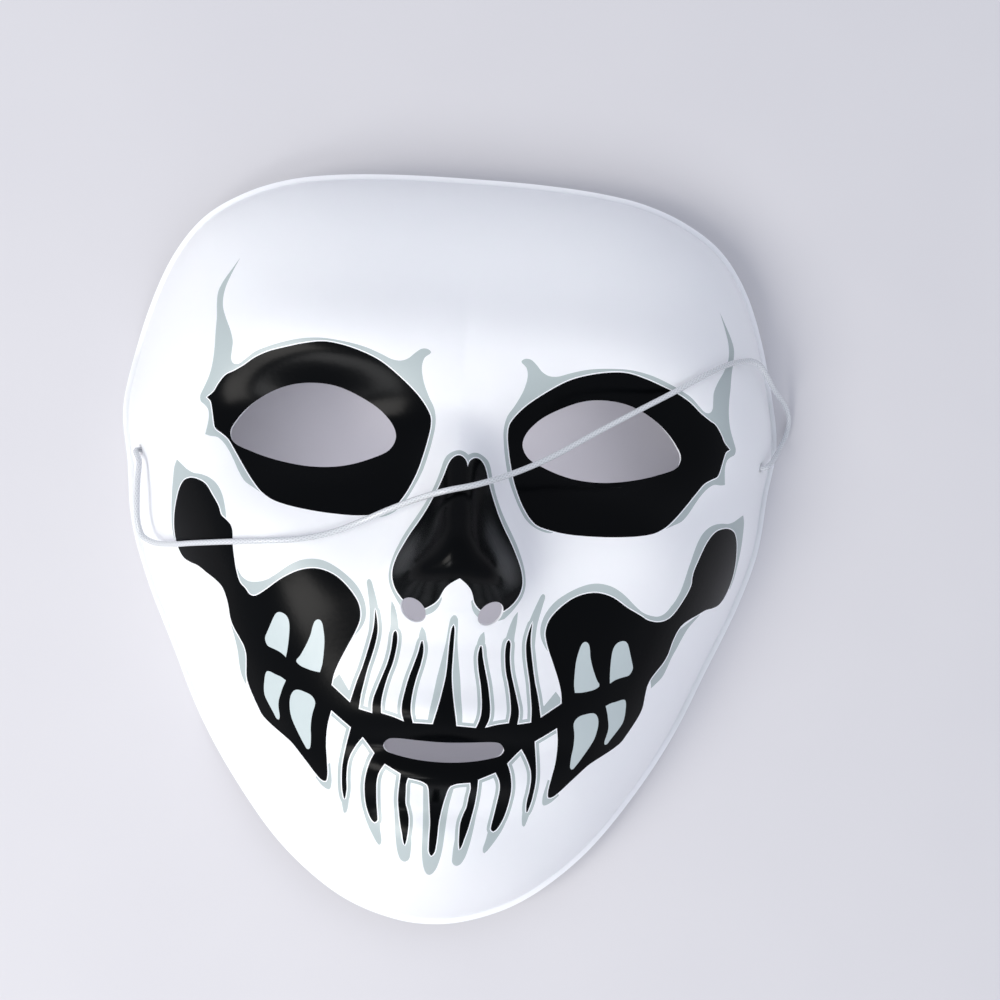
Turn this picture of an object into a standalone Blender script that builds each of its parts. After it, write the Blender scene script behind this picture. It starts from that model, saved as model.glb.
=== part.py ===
"""Skull mask: a thin moulded plastic face with eye, nostril and mouth openings, and its elastic.

The mask lies face up on its rim. X runs across the face, Y up towards the forehead and Z out of the
face. The origin is the centre of the mask's outline, on the plane of the rim. Sizes are in metres.
"""

import math
from collections import namedtuple

import bmesh
import bpy
import numpy as np
from mathutils import Matrix, Vector

# Driving sizes of the moulded face
MASK_WIDTH = 0.184
MASK_HEIGHT = 0.200
FACE_DEPTH = 0.052
NOSE_RISE = 0.024
RELIEF_DEPTH = 0.010
WALL = 0.0008
LIP_WIDTH = 0.0018
FOREHEAD_LIFT = 0.016
CHIN_LIFT = 0.009

# Openings
EYE_SPACING = 0.0716
EYE_LEVEL = 0.0230
EYE_WIDTH = 0.0408
EYE_HEIGHT = 0.0208
NOSTRIL_SPACING = 0.0178
NOSTRIL_LEVEL = -0.0183
NOSTRIL_LENGTH = 0.0066
NOSTRIL_WIDTH = 0.0047
NOSTRIL_SLANT_DEG = 40.0
MOUTH_LEVEL = -0.0500
MOUTH_LENGTH = 0.0282
MOUTH_HEIGHT = 0.0050
CORD_HOLE_DIAMETER = 0.0030

# Elastic
CORD_DIAMETER = 0.0018
KNOT_LENGTH = 0.0040
KNOT_DIAMETER = 0.0046
SEAT_GAP = 0.0004

# Mesh fineness
COLUMNS = 40
ROWS = 44
OUTLINE_STEPS = 720
NOSTRIL_STEPS = 16
CORD_POINTS = 78

# Rim outline from the top of the forehead down one side to the chin.
# Shares of half the width and half the height.
RimPoint = namedtuple("RimPoint", "across up")
RIM_OUTLINE = [
    RimPoint(0.00, 1.000),
    RimPoint(0.22, 0.997),
    RimPoint(0.40, 0.986),
    RimPoint(0.53, 0.968),
    RimPoint(0.66, 0.929),
    RimPoint(0.78, 0.864),
    RimPoint(0.87, 0.763),
    RimPoint(0.94, 0.62),
    RimPoint(0.985, 0.46),
    RimPoint(1.00, 0.33),
    RimPoint(0.975, 0.19),
    RimPoint(0.95, 0.03),
    RimPoint(0.895, -0.12),
    RimPoint(0.80, -0.31),
    RimPoint(0.70, -0.50),
    RimPoint(0.57, -0.67),
    RimPoint(0.42, -0.825),
    RimPoint(0.25, -0.94),
    RimPoint(0.10, -0.99),
    RimPoint(0.00, -1.00),
]

# Raised and sunk forms of the face, the same on both sides.
# Places and spreads are shares of half the width and half the height, rises of RELIEF_DEPTH.
Form = namedtuple("Form", "across up spread_across spread_up rise fullness")
FORMS = {
    "brow ridge": Form(0.33, 0.47, 0.36, 0.085, 0.50, 2.0),
    "frown": Form(0.00, 0.50, 0.17, 0.10, 0.15, 2.0),
    "eye socket": Form(0.38, 0.26, 0.26, 0.135, -0.90, 2.4),
    "nose root": Form(0.00, 0.29, 0.11, 0.07, -0.20, 2.0),
    "cheekbone": Form(0.53, -0.03, 0.20, 0.13, 0.40, 2.0),
    "nose wing": Form(0.105, -0.095, 0.052, 0.055, 0.45, 2.0),
    "muzzle": Form(0.00, -0.43, 0.34, 0.28, 0.70, 2.0),
    "upper lip": Form(0.00, -0.415, 0.22, 0.04, 0.20, 2.0),
    "mouth line": Form(0.00, -0.50, 0.26, 0.034, -0.25, 2.0),
    "lower lip": Form(0.00, -0.57, 0.17, 0.038, 0.25, 2.0),
    "chin fold": Form(0.00, -0.645, 0.20, 0.045, -0.30, 2.0),
    "chin": Form(0.00, -0.77, 0.20, 0.11, 0.50, 2.0),
}

# Nose from its root down to the upper lip: height on the face, rise and half width.
# Shares of half the height, NOSE_RISE and half the width.
NoseSection = namedtuple("NoseSection", "up rise half_width")
NOSE = [
    NoseSection(0.36, 0.00, 0.080),
    NoseSection(0.30, 0.03, 0.078),
    NoseSection(0.22, 0.20, 0.078),
    NoseSection(0.12, 0.49, 0.082),
    NoseSection(0.03, 0.79, 0.092),
    NoseSection(-0.04, 0.98, 0.108),
    NoseSection(-0.09, 0.91, 0.125),
    NoseSection(-0.14, 0.58, 0.136),
    NoseSection(-0.19, 0.23, 0.141),
    NoseSection(-0.25, 0.02, 0.141),
    NoseSection(-0.30, 0.00, 0.141),
]

# Eye opening from its inner corner over the top and back along the lower edge.
# Shares of EYE_WIDTH from the opening's middle and of EYE_HEIGHT from the corners' level.
OutlinePoint = namedtuple("OutlinePoint", "across up")
EYE_OUTLINE = [
    OutlinePoint(-0.500, -0.01),
    OutlinePoint(-0.483, 0.13),
    OutlinePoint(-0.400, 0.32),
    OutlinePoint(-0.265, 0.48),
    OutlinePoint(-0.130, 0.58),
    OutlinePoint(0.005, 0.61),
    OutlinePoint(0.152, 0.58),
    OutlinePoint(0.287, 0.48),
    OutlinePoint(0.397, 0.33),
    OutlinePoint(0.468, 0.165),
    OutlinePoint(0.500, 0.02),
    OutlinePoint(0.475, -0.11),
    OutlinePoint(0.348, -0.23),
    OutlinePoint(0.176, -0.33),
    OutlinePoint(-0.020, -0.385),
    OutlinePoint(-0.203, -0.36),
    OutlinePoint(-0.363, -0.26),
    OutlinePoint(-0.466, -0.15),
]

# Mouth slot from the middle of its upper edge round one end to the middle of its lower edge.
# Shares of MOUTH_LENGTH and of MOUTH_HEIGHT from the slot's level.
MOUTH_OUTLINE = [
    OutlinePoint(0.00, 0.33),
    OutlinePoint(0.21, 0.37),
    OutlinePoint(0.40, 0.42),
    OutlinePoint(0.46, 0.36),
    OutlinePoint(0.50, 0.04),
    OutlinePoint(0.475, -0.20),
    OutlinePoint(0.41, -0.33),
    OutlinePoint(0.23, -0.51),
    OutlinePoint(0.00, -0.58),
]

# Places of the two elastic holes, shares of half the width and half the height.
HolePlace = namedtuple("HolePlace", "across up")
CORD_HOLES = {
    "left": HolePlace(-0.907, 0.206),
    "right": HolePlace(0.907, 0.252),
}

# Elastic from the left hole over the face to the right hole: a route chosen by hand, in metres.
CORD_ROUTE = [
    (-0.0822, 0.0167, 0.0193),
    (-0.0819, 0.0119, 0.0207),
    (-0.0814, 0.0066, 0.0219),
    (-0.0809, 0.0014, 0.0218),
    (-0.0796, -0.0023, 0.0216),
    (-0.0763, -0.0041, 0.0243),
    (-0.0703, -0.0048, 0.0313),
    (-0.0626, -0.0046, 0.0396),
    (-0.0543, -0.0043, 0.0466),
    (-0.0455, -0.0039, 0.0513),
    (-0.0373, -0.0032, 0.0531),
    (-0.0292, -0.0013, 0.0536),
    (-0.0224, 0.0015, 0.0552),
    (-0.0155, 0.0046, 0.0584),
    (-0.0087, 0.0071, 0.0631),
    (-0.0028, 0.0087, 0.0673),
    (0.0035, 0.0104, 0.0664),
    (0.0116, 0.0138, 0.0616),
    (0.0212, 0.0189, 0.0564),
    (0.0335, 0.0269, 0.0512),
    (0.0436, 0.0332, 0.0480),
    (0.0530, 0.0390, 0.0444),
    (0.0611, 0.0443, 0.0405),
    (0.0684, 0.0488, 0.0345),
    (0.0745, 0.0516, 0.0279),
    (0.0776, 0.0525, 0.0248),
    (0.0808, 0.0520, 0.0218),
    (0.0839, 0.0500, 0.0178),
    (0.0884, 0.0472, 0.0110),
    (0.0930, 0.0447, 0.0050),
    (0.0951, 0.0416, 0.0019),
    (0.0947, 0.0376, 0.0015),
    (0.0920, 0.0330, 0.0045),
    (0.0883, 0.0285, 0.0112),
]


def smooth_step(value):
    """Ease a share from 0 to 1, flat at both ends."""
    share = np.clip(value, 0.0, 1.0)
    return share * share * (3.0 - 2.0 * share)


def smooth_curve(points, closed, steps):
    """Return points read from a smooth curve through the given points, steps to each span."""
    route = np.array(points, dtype=float)
    count = len(route)
    if closed:
        before, after = route[-1], route[:2]
    else:
        before = 2.0 * route[0] - route[1]
        after = np.array([2.0 * route[-1] - route[-2]])
    padded = np.vstack([before, route, after])
    spans = count if closed else count - 1
    result = []
    for index in range(spans):
        a, b, c, d = padded[index:index + 4]
        gaps = [max(math.sqrt(np.linalg.norm(q - p)), 1e-6) for p, q in ((a, b), (b, c), (c, d))]
        leave = (b - a) / gaps[0] - (c - a) / (gaps[0] + gaps[1]) + (c - b) / gaps[1]
        arrive = (c - b) / gaps[1] - (d - b) / (gaps[1] + gaps[2]) + (d - c) / gaps[2]
        for step in range(steps):
            t = step / steps
            result.append(
                (2 * t**3 - 3 * t**2 + 1) * b
                + (t**3 - 2 * t**2 + t) * leave * gaps[1]
                + (3 * t**2 - 2 * t**3) * c
                + (t**3 - t**2) * arrive * gaps[1]
            )
    if not closed:
        result.append(route[-1])
    return np.array(result)


def respace(points, count):
    """Return count points at equal distances along an open line of points."""
    lengths = np.concatenate([[0.0], np.cumsum(np.linalg.norm(np.diff(points, axis=0), axis=1))])
    wanted = np.linspace(0.0, lengths[-1], count)
    return np.column_stack([np.interp(wanted, lengths, points[:, axis]) for axis in range(3)])


class Face:
    """The front surface of the mask, as a height over the rim plane."""

    def __init__(self):
        half = [(p.across * MASK_WIDTH / 2, p.up * MASK_HEIGHT / 2) for p in RIM_OUTLINE]
        other = [(-x, y) for x, y in half[-2:0:-1]]
        outline = smooth_curve(half + other, True, OUTLINE_STEPS // len(half))
        angles = np.arctan2(outline[:, 1], outline[:, 0])
        order = np.argsort(angles)
        self.angles = angles[order]
        self.radii = np.hypot(outline[:, 0], outline[:, 1])[order]

    def reach(self, angle):
        """Distance from the origin to the rim's outer edge in a direction."""
        return np.interp(angle, self.angles, self.radii, period=2 * math.pi)

    def rim_height(self, angle):
        """Height of the rim's underside, which lifts at the forehead and the chin."""
        sine = np.sin(angle)
        forehead = FOREHEAD_LIFT * smooth_step((sine - 0.45) / 0.55)
        chin = CHIN_LIFT * smooth_step((-sine - 0.55) / 0.45)
        return forehead + chin

    def dome(self, x, y):
        """Height of the plain dome under the features."""
        angle = np.arctan2(y, x)
        share = np.clip(np.hypot(x, y) / (self.reach(angle) - LIP_WIDTH), 0.0, 1.0)
        up = smooth_step((np.sin(angle) - 0.2) / 0.8)
        down = smooth_step((-np.sin(angle) - 0.2) / 0.8)
        fullness = 3.2 - 0.5 * up
        drop = 1.0 / (1.28 + 0.10 * up + 0.12 * down)
        foot = self.rim_height(angle) + WALL
        return foot + (FACE_DEPTH - foot) * np.power(1.0 - np.power(share, fullness), drop)

    def nose(self, x, y):
        """Rise of the nose over the dome."""
        sections = sorted(NOSE, key=lambda section: section.up)
        levels = np.array([section.up for section in sections]) * MASK_HEIGHT / 2
        rises = np.array([section.rise for section in sections]) * NOSE_RISE
        widths = np.array([section.half_width for section in sections]) * MASK_WIDTH / 2
        dense = smooth_curve(np.column_stack([levels, rises, widths]), False, 8)
        rise = np.interp(y, dense[:, 0], dense[:, 1])
        width = np.interp(y, dense[:, 0], dense[:, 2])
        return rise * np.exp(-np.power(np.abs(x) / width, 2.2))

    def height(self, x, y):
        """Height of the front surface over the rim plane."""
        total = self.dome(x, y) + self.nose(x, y)
        for form in FORMS.values():
            across = (np.abs(x) - form.across * MASK_WIDTH / 2) / (form.spread_across * MASK_WIDTH / 2)
            up = (y - form.up * MASK_HEIGHT / 2) / (form.spread_up * MASK_HEIGHT / 2)
            spread = np.power(across**2 + up**2, form.fullness / 2)
            total = total + form.rise * RELIEF_DEPTH * np.exp(-spread)
        return total

    def point(self, x, y):
        """Point of the front surface over a place on the rim plane."""
        return Vector((x, y, float(self.height(x, y))))

    def normal(self, x, y):
        """Outward direction of the front surface at a place."""
        step = WALL / 4
        slope_x = (self.height(x + step, y) - self.height(x - step, y)) / (2 * step)
        slope_y = (self.height(x, y + step) - self.height(x, y - step)) / (2 * step)
        return Vector((-float(slope_x), -float(slope_y), 1.0)).normalized()


def clear_scene():
    """Remove what the scene holds."""
    for item in list(bpy.data.objects):
        bpy.data.objects.remove(item, do_unlink=True)


def material(name, colour, roughness):
    """Return a plain Principled material."""
    finish = bpy.data.materials.new(name)
    finish.use_nodes = True
    shader = finish.node_tree.nodes["Principled BSDF"]
    shader.inputs["Base Color"].default_value = (*colour, 1.0)
    shader.inputs["Roughness"].default_value = roughness
    return finish


def add_object(name, mesh, finish):
    """Link a finished mesh to the scene with its material."""
    mesh.materials.append(finish)
    item = bpy.data.objects.new(name, mesh)
    bpy.context.collection.objects.link(item)
    return item


def face_sheet(face):
    """Return a bmesh of the front surface, closed at the rim by the lip."""
    sheet = bmesh.new()
    bmesh.ops.create_grid(sheet, x_segments=COLUMNS, y_segments=ROWS, size=1.0)
    near_rim = 0.3
    steepness = 1.0 / (2.0 * near_rim - near_rim**2)
    for vertex in sheet.verts:
        u, v = vertex.co.x, vertex.co.y
        across = u * math.sqrt(1.0 - v * v / 2.0)
        up = v * math.sqrt(1.0 - u * u / 2.0)
        share = min(math.hypot(across, up), 1.0)
        angle = math.atan2(up, across)
        if share > 1.0 - near_rim:
            spread = 1.0 - steepness * (1.0 - share) ** 2
        else:
            spread = 2.0 * steepness * near_rim * share
        radius = spread * (float(face.reach(angle)) - LIP_WIDTH)
        x, y = radius * math.cos(angle), radius * math.sin(angle)
        vertex.co = (x, y, float(face.height(x, y)))
    rim = [edge for edge in sheet.edges if edge.is_boundary]
    grown = bmesh.ops.extrude_edge_only(sheet, edges=rim)["geom"]
    for vertex in [item for item in grown if isinstance(item, bmesh.types.BMVert)]:
        angle = math.atan2(vertex.co.y, vertex.co.x)
        radius = float(face.reach(angle))
        foot = float(face.rim_height(angle)) + WALL
        vertex.co = (radius * math.cos(angle), radius * math.sin(angle), foot)
    bmesh.ops.recalc_face_normals(sheet, faces=sheet.faces)
    return sheet


def prism_cutter(name, outline, low, high):
    """Return a hidden prism through the face, for a Boolean, from a flat outline of (x, y) points."""
    solid = bmesh.new()
    foot = [solid.verts.new((x, y, low)) for x, y in outline]
    base = solid.faces.new(foot)
    top = bmesh.ops.extrude_face_region(solid, geom=[base])["geom"]
    risen = [item for item in top if isinstance(item, bmesh.types.BMVert)]
    bmesh.ops.translate(solid, verts=risen, vec=(0.0, 0.0, high - low))
    bmesh.ops.recalc_face_normals(solid, faces=solid.faces)
    return hidden_cutter(name, solid)


def rod_cutter(name, centre, direction):
    """Return a hidden rod through the wall at a point, for a Boolean."""
    solid = bmesh.new()
    radius = CORD_HOLE_DIAMETER / 2
    bmesh.ops.create_cone(
        solid, cap_ends=True, segments=16, radius1=radius, radius2=radius, depth=6 * WALL
    )
    turn = direction.to_track_quat("Z", "Y").to_matrix().to_4x4()
    bmesh.ops.transform(solid, verts=solid.verts, matrix=Matrix.Translation(centre) @ turn)
    return hidden_cutter(name, solid)


def hidden_cutter(name, solid):
    """Turn a closed bmesh into a cutter that is left out of the model."""
    mesh = bpy.data.meshes.new(name)
    solid.to_mesh(mesh)
    solid.free()
    item = bpy.data.objects.new(name, mesh)
    item.hide_render = True
    item.display_type = "WIRE"
    bpy.context.collection.objects.link(item)
    return item


def opening_cutters(face):
    """Return the cutters of the eye, nostril, mouth and elastic holes."""
    top = FACE_DEPTH + NOSE_RISE + RELIEF_DEPTH
    low = FACE_DEPTH / 4
    cutters = []
    eye = smooth_curve([(p.across * EYE_WIDTH, p.up * EYE_HEIGHT) for p in EYE_OUTLINE], True, 3)
    slant = math.radians(NOSTRIL_SLANT_DEG)
    for side_name, side in (("left", -1.0), ("right", 1.0)):
        outline = [(side * (EYE_SPACING / 2 + x), EYE_LEVEL + y) for x, y in eye]
        cutters.append(prism_cutter(f"{side_name}_eye_cutter", outline, low, top))
        nostril = []
        for step in range(NOSTRIL_STEPS):
            turn = 2 * math.pi * step / NOSTRIL_STEPS
            along, aside = math.cos(turn) * NOSTRIL_LENGTH / 2, math.sin(turn) * NOSTRIL_WIDTH / 2
            x = NOSTRIL_SPACING / 2 + along * math.cos(slant) - aside * math.sin(slant)
            y = NOSTRIL_LEVEL + along * math.sin(slant) + aside * math.cos(slant)
            nostril.append((side * x, y))
        cutters.append(prism_cutter(f"{side_name}_nostril_cutter", nostril, low, top))
    half = [(p.across * MOUTH_LENGTH, MOUTH_LEVEL + p.up * MOUTH_HEIGHT) for p in MOUTH_OUTLINE]
    mouth = smooth_curve(half + [(-x, y) for x, y in half[-2:0:-1]], True, 2)
    cutters.append(prism_cutter("mouth_cutter", [tuple(point) for point in mouth], low, top))
    for side_name, place in CORD_HOLES.items():
        x, y = place.across * MASK_WIDTH / 2, place.up * MASK_HEIGHT / 2
        cutters.append(rod_cutter(f"{side_name}_cord_hole_cutter", face.point(x, y), face.normal(x, y)))
    return cutters


def build_shell(face, finish):
    """Make the moulded face: a thin wall with a turned-out lip and its openings."""
    sheet = face_sheet(face)
    mesh = bpy.data.meshes.new("mask_shell")
    sheet.to_mesh(mesh)
    sheet.free()
    shell = add_object("mask_shell", mesh, finish)
    wall = shell.modifiers.new("wall", "SOLIDIFY")
    wall.thickness = WALL
    wall.offset = -1.0
    wall.use_even_offset = True
    for cutter in opening_cutters(face):
        cut = shell.modifiers.new(cutter.name, "BOOLEAN")
        cut.operation = "DIFFERENCE"
        cut.solver = "EXACT"
        cut.object = cutter
    return shell


def hole_frame(face, side_name):
    """Return the point and outward direction of an elastic hole on the front surface."""
    place = CORD_HOLES[side_name]
    x, y = place.across * MASK_WIDTH / 2, place.up * MASK_HEIGHT / 2
    return face.point(x, y), face.normal(x, y)


def build_cord(face, finish):
    """Make the elastic: a tube from behind one hole, over the face and in at the other."""
    left, left_out = hole_frame(face, "left")
    right, right_out = hole_frame(face, "right")
    leave = [left - left_out * WALL, left + left_out * CORD_DIAMETER]
    enter = [right + right_out * CORD_DIAMETER, right - right_out * WALL]
    route = [tuple(point) for point in leave] + CORD_ROUTE + [tuple(point) for point in enter]
    line = respace(smooth_curve(route, False, 12), CORD_POINTS)
    curve = bpy.data.curves.new("elastic_cord", "CURVE")
    curve.dimensions = "3D"
    curve.bevel_depth = CORD_DIAMETER / 2
    curve.bevel_resolution = 2
    curve.use_fill_caps = True
    spline = curve.splines.new("POLY")
    spline.points.add(len(line) - 1)
    for target, point in zip(spline.points, line):
        target.co = (*point, 1.0)
    return add_object("elastic_cord", curve, finish)


def build_knot(face, side_name, finish):
    """Make the knot that holds the elastic behind a hole."""
    place, outward = hole_frame(face, side_name)
    solid = bmesh.new()
    bmesh.ops.create_uvsphere(solid, u_segments=14, v_segments=8, radius=0.5)
    bmesh.ops.scale(solid, verts=solid.verts, vec=(KNOT_DIAMETER, KNOT_DIAMETER, KNOT_LENGTH))
    centre = place - outward * (WALL + SEAT_GAP + KNOT_LENGTH / 2)
    turn = outward.to_track_quat("Z", "Y").to_matrix().to_4x4()
    bmesh.ops.transform(solid, verts=solid.verts, matrix=Matrix.Translation(centre) @ turn)
    mesh = bpy.data.meshes.new(f"knot_{side_name}")
    solid.to_mesh(mesh)
    solid.free()
    mesh.shade_smooth()
    return add_object(f"knot_{side_name}", mesh, finish)


def main():
    """Build the mask."""
    clear_scene()
    face = Face()
    plastic = material("white_plastic", (0.86, 0.87, 0.90), 0.3)
    elastic = material("white_elastic", (0.82, 0.83, 0.84), 0.7)
    build_shell(face, plastic)
    build_cord(face, elastic)
    for side_name in CORD_HOLES:
        build_knot(face, side_name, elastic)


main()
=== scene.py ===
"""Looks of the skull mask: a printed white plastic face that lies on its rim, with its elastic.

The frame's axes hold, in metres: X runs across the face, Y up towards the forehead, Z out of it.
The figure's outlines are in millimetres on the flat print, X outwards from its middle line.
"""

from __future__ import annotations

import logging
import math
from collections.abc import Sequence
from dataclasses import dataclass, field
from enum import Enum
from typing import NamedTuple

import bpy
import numpy as np
from mathutils import Matrix, Vector, kdtree
from mathutils.geometry import delaunay_2d_cdt


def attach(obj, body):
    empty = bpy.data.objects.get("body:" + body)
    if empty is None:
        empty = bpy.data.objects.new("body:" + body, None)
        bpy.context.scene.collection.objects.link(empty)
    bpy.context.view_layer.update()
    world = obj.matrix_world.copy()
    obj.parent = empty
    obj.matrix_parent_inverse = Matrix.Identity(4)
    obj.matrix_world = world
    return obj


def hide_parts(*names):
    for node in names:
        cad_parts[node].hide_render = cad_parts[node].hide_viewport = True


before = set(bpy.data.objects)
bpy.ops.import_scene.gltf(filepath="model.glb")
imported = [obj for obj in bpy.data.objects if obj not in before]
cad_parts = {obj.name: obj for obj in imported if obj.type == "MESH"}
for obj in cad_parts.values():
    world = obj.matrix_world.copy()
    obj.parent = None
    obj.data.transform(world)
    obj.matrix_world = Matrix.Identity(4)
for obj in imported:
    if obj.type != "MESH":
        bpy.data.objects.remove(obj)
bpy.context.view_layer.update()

log = logging.getLogger("skull_mask")
MM = 0.001
# Left and right as a viewer who faces the mask sees them.
SIDES = (-1.0, 1.0)
# How many points a curve gives between two that it passes through.
CURVE_STEPS = 12
FINE_CURVE_STEPS = 24
RIM_CURVE_STEPS = 36
NOSE_CURVE_STEPS = 60
NEARLY_NONE = 1e-6
# Points of the flat mesh that are this near become one.
SAME_POINT_MM = 1e-4
# The step over which the mould's slope is measured.
SLOPE_STEP_MM = 0.02
# A tube's edges sharper than this, those round its ends, stay sharp.
CAP_EDGE_DEG = 60.0
# The share of the distance at which a moved outline's point counts as clear of the outline.
CLEAR_SHARE = 0.97
# The spacing at which an outline is read to measure how near a place lies.
FINE_SPACING_MM = 0.12


class Bend(NamedTuple):
    """A point that a smooth outline passes through."""

    x: float
    y: float


class Corner(Bend):
    """A point where an outline turns sharply."""


class Ink(Enum):
    """What covers a part of the shell's front, by its material's place on the mesh."""

    BARE = 0
    GREY = 1
    BLACK = 2
    PALE = 3


def linear_colour(code: str) -> tuple[float, float, float, float]:
    """Turn an sRGB hex colour to linear.

    Args:
        code: Six hex digits.

    Returns:
        Red, green, blue and an alpha of one.
    """
    shares = [int(code[i:i + 2], 16) / 255 for i in (0, 2, 4)]
    linear = [s / 12.92 if s <= 0.04045 else ((s + 0.055) / 1.055) ** 2.4 for s in shares]
    return (linear[0], linear[1], linear[2], 1.0)


def add_node(
    material: bpy.types.Material, kind: str, inputs: dict | None = None, **settings: object
) -> bpy.types.Node:
    """Add a shader node with its settings and links.

    Args:
        material: The material that takes the node.
        kind: The node's type.
        inputs: Values by input name or number; an output socket is linked.
        settings: The node's own properties.

    Returns:
        The new node.
    """
    tree = material.node_tree
    node = tree.nodes.new(kind)
    for name, value in settings.items():
        setattr(node, name, value)
    for name, value in (inputs or {}).items():
        if isinstance(value, bpy.types.NodeSocket):
            tree.links.new(value, node.inputs[name])
        else:
            node.inputs[name].default_value = value
    return node


def surface_material(name: str, shader_inputs: dict) -> bpy.types.Material:
    """Make an empty material with one Principled shader.

    Args:
        name: The material's name.
        shader_inputs: Constant values of the shader by input name.

    Returns:
        The material, whose shader is its active node.
    """
    material = bpy.data.materials.new(name)
    material.use_nodes = True
    material.node_tree.nodes.clear()
    shader = add_node(material, "ShaderNodeBsdfPrincipled", shader_inputs)
    add_node(material, "ShaderNodeOutputMaterial", {"Surface": shader.outputs["BSDF"]})
    material.node_tree.nodes.active = shader
    return material


@dataclass(frozen=True)
class SheetFinish:
    """Vinyl sheet, vacuum formed over a mould: a soft gloss with a faint orange peel."""

    name: str
    tint: str
    shade: str
    roughness: float
    roughness_spread: float
    translucence: float
    gloss: float = 0.5
    ior: float = 1.53
    glow_mm: tuple[float, float, float] = (3.5, 3.2, 3.4)
    mottle_mm: float = 30.0
    peel_mm: float = 1.1
    peel_depth_mm: float = 0.012

    def material(self) -> bpy.types.Material:
        """Make the finish on Object coordinates.

        Returns:
            The material.
        """
        material = surface_material(self.name, {
            "IOR": self.ior,
            "Specular IOR Level": self.gloss,
            "Subsurface Weight": self.translucence,
            "Subsurface Radius": tuple(reach * MM for reach in self.glow_mm),
            "Subsurface Scale": 1.0,
        })
        shader = material.node_tree.nodes.active
        place = add_node(material, "ShaderNodeTexCoord").outputs["Object"]
        mottle = add_node(material, "ShaderNodeTexNoise", {
            "Vector": place, "Scale": 1 / (self.mottle_mm * MM), "Detail": 3.0, "Roughness": 0.55})
        tone = add_node(material, "ShaderNodeMix", {
            "Factor": mottle.outputs["Fac"],
            6: linear_colour(self.tint), 7: linear_colour(self.shade)}, data_type="RGBA")
        gloss = add_node(material, "ShaderNodeMapRange", {
            "Value": mottle.outputs["Fac"],
            "To Min": self.roughness - self.roughness_spread,
            "To Max": self.roughness + self.roughness_spread})
        peel = add_node(material, "ShaderNodeTexNoise", {
            "Vector": place, "Scale": 1 / (self.peel_mm * MM), "Detail": 2.0})
        bump = add_node(material, "ShaderNodeBump", {
            "Height": peel.outputs["Fac"], "Distance": self.peel_depth_mm * MM, "Strength": 1.0})
        links = material.node_tree.links
        links.new(tone.outputs[2], shader.inputs["Base Color"])
        links.new(gloss.outputs["Result"], shader.inputs["Roughness"])
        links.new(bump.outputs["Normal"], shader.inputs["Normal"])
        return material


# White vinyl: opaque enough for a face, but the sheet still glows a little where it is lit.
WHITE_VINYL = SheetFinish("moulded_white_vinyl", "F7F7FB", "F2F3F8", 0.42, 0.04, 0.80)
# Screen ink under the sheet's own gloss: black with soft, broad highlights.
BLACK_INK = SheetFinish("black_screen_ink", "020304", "040506", 0.21, 0.02, 0.0, 0.05)
# The same ink in a pale blue grey, for the figure's shades.
GREY_INK = SheetFinish("pale_grey_screen_ink", "AAB4B3", "A5B0AF", 0.38, 0.03, 0.1)
# A thinner coat of that grey, for the teeth that show in the black cheeks.
PALE_INK = SheetFinish("thin_grey_screen_ink", "BAC5C4", "B5C1C0", 0.38, 0.03, 0.2)
INK_FINISHES = {
    Ink.BARE: WHITE_VINYL, Ink.GREY: GREY_INK, Ink.BLACK: BLACK_INK, Ink.PALE: PALE_INK}


@dataclass(frozen=True)
class ElasticFinish:
    """Round elastic: rubber core in a cover of fine white thread wound both ways."""

    name: str = "covered_white_elastic"
    tint: str = "CED1D2"
    # Painted shade: the darker colour that the grooves between the threads are given.
    shade: str = "B3B6B9"
    roughness: float = 0.20
    ior: float = 1.5
    sheen: float = 0.25
    translucence: float = 0.15
    thread_mm: float = 0.22
    lay_mm: float = 1.3
    thread_depth_mm: float = 0.006

    def material(self) -> bpy.types.Material:
        """Make the finish on the tube's UV map, whose V runs along it in metres.

        Returns:
            The material.
        """
        material = surface_material(self.name, {
            "Roughness": self.roughness, "IOR": self.ior,
            "Sheen Weight": self.sheen, "Sheen Roughness": 0.4,
            "Subsurface Weight": self.translucence, "Subsurface Radius": (MM, MM, MM)})
        shader = material.node_tree.nodes.active
        sheet = add_node(material, "ShaderNodeUVMap", uv_map="along").outputs["UV"]
        parts = add_node(material, "ShaderNodeSeparateXYZ", {"Vector": sheet})
        turns = add_node(material, "ShaderNodeMath", {
            0: parts.outputs["Y"], 1: 2 * math.pi / (self.lay_mm * MM)}, operation="MULTIPLY")
        around = round(self.lay_mm / self.thread_mm)
        angle = add_node(material, "ShaderNodeMath", {
            0: parts.outputs["X"], 1: 2 * math.pi * around}, operation="MULTIPLY")
        waves = []
        for way in ("ADD", "SUBTRACT"):
            phase = add_node(material, "ShaderNodeMath", {
                0: angle.outputs[0], 1: turns.outputs[0]}, operation=way)
            waves.append(add_node(material, "ShaderNodeMath", {
                0: phase.outputs[0]}, operation="SINE"))
        weave = add_node(material, "ShaderNodeMath", {
            0: waves[0].outputs[0], 1: waves[1].outputs[0]}, operation="MAXIMUM")
        cover = add_node(material, "ShaderNodeMapRange", {
            "Value": weave.outputs[0], "From Min": -0.6})
        # The grooves between the threads are painted in the darker shade colour, as painted shade.
        tone = add_node(material, "ShaderNodeMix", {
            "Factor": cover.outputs["Result"],
            6: linear_colour(self.shade), 7: linear_colour(self.tint)}, data_type="RGBA")
        bump = add_node(material, "ShaderNodeBump", {
            "Height": cover.outputs["Result"],
            "Distance": self.thread_depth_mm * MM, "Strength": 0.8})
        links = material.node_tree.links
        links.new(tone.outputs[2], shader.inputs["Base Color"])
        links.new(bump.outputs["Normal"], shader.inputs["Normal"])
        return material


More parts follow.
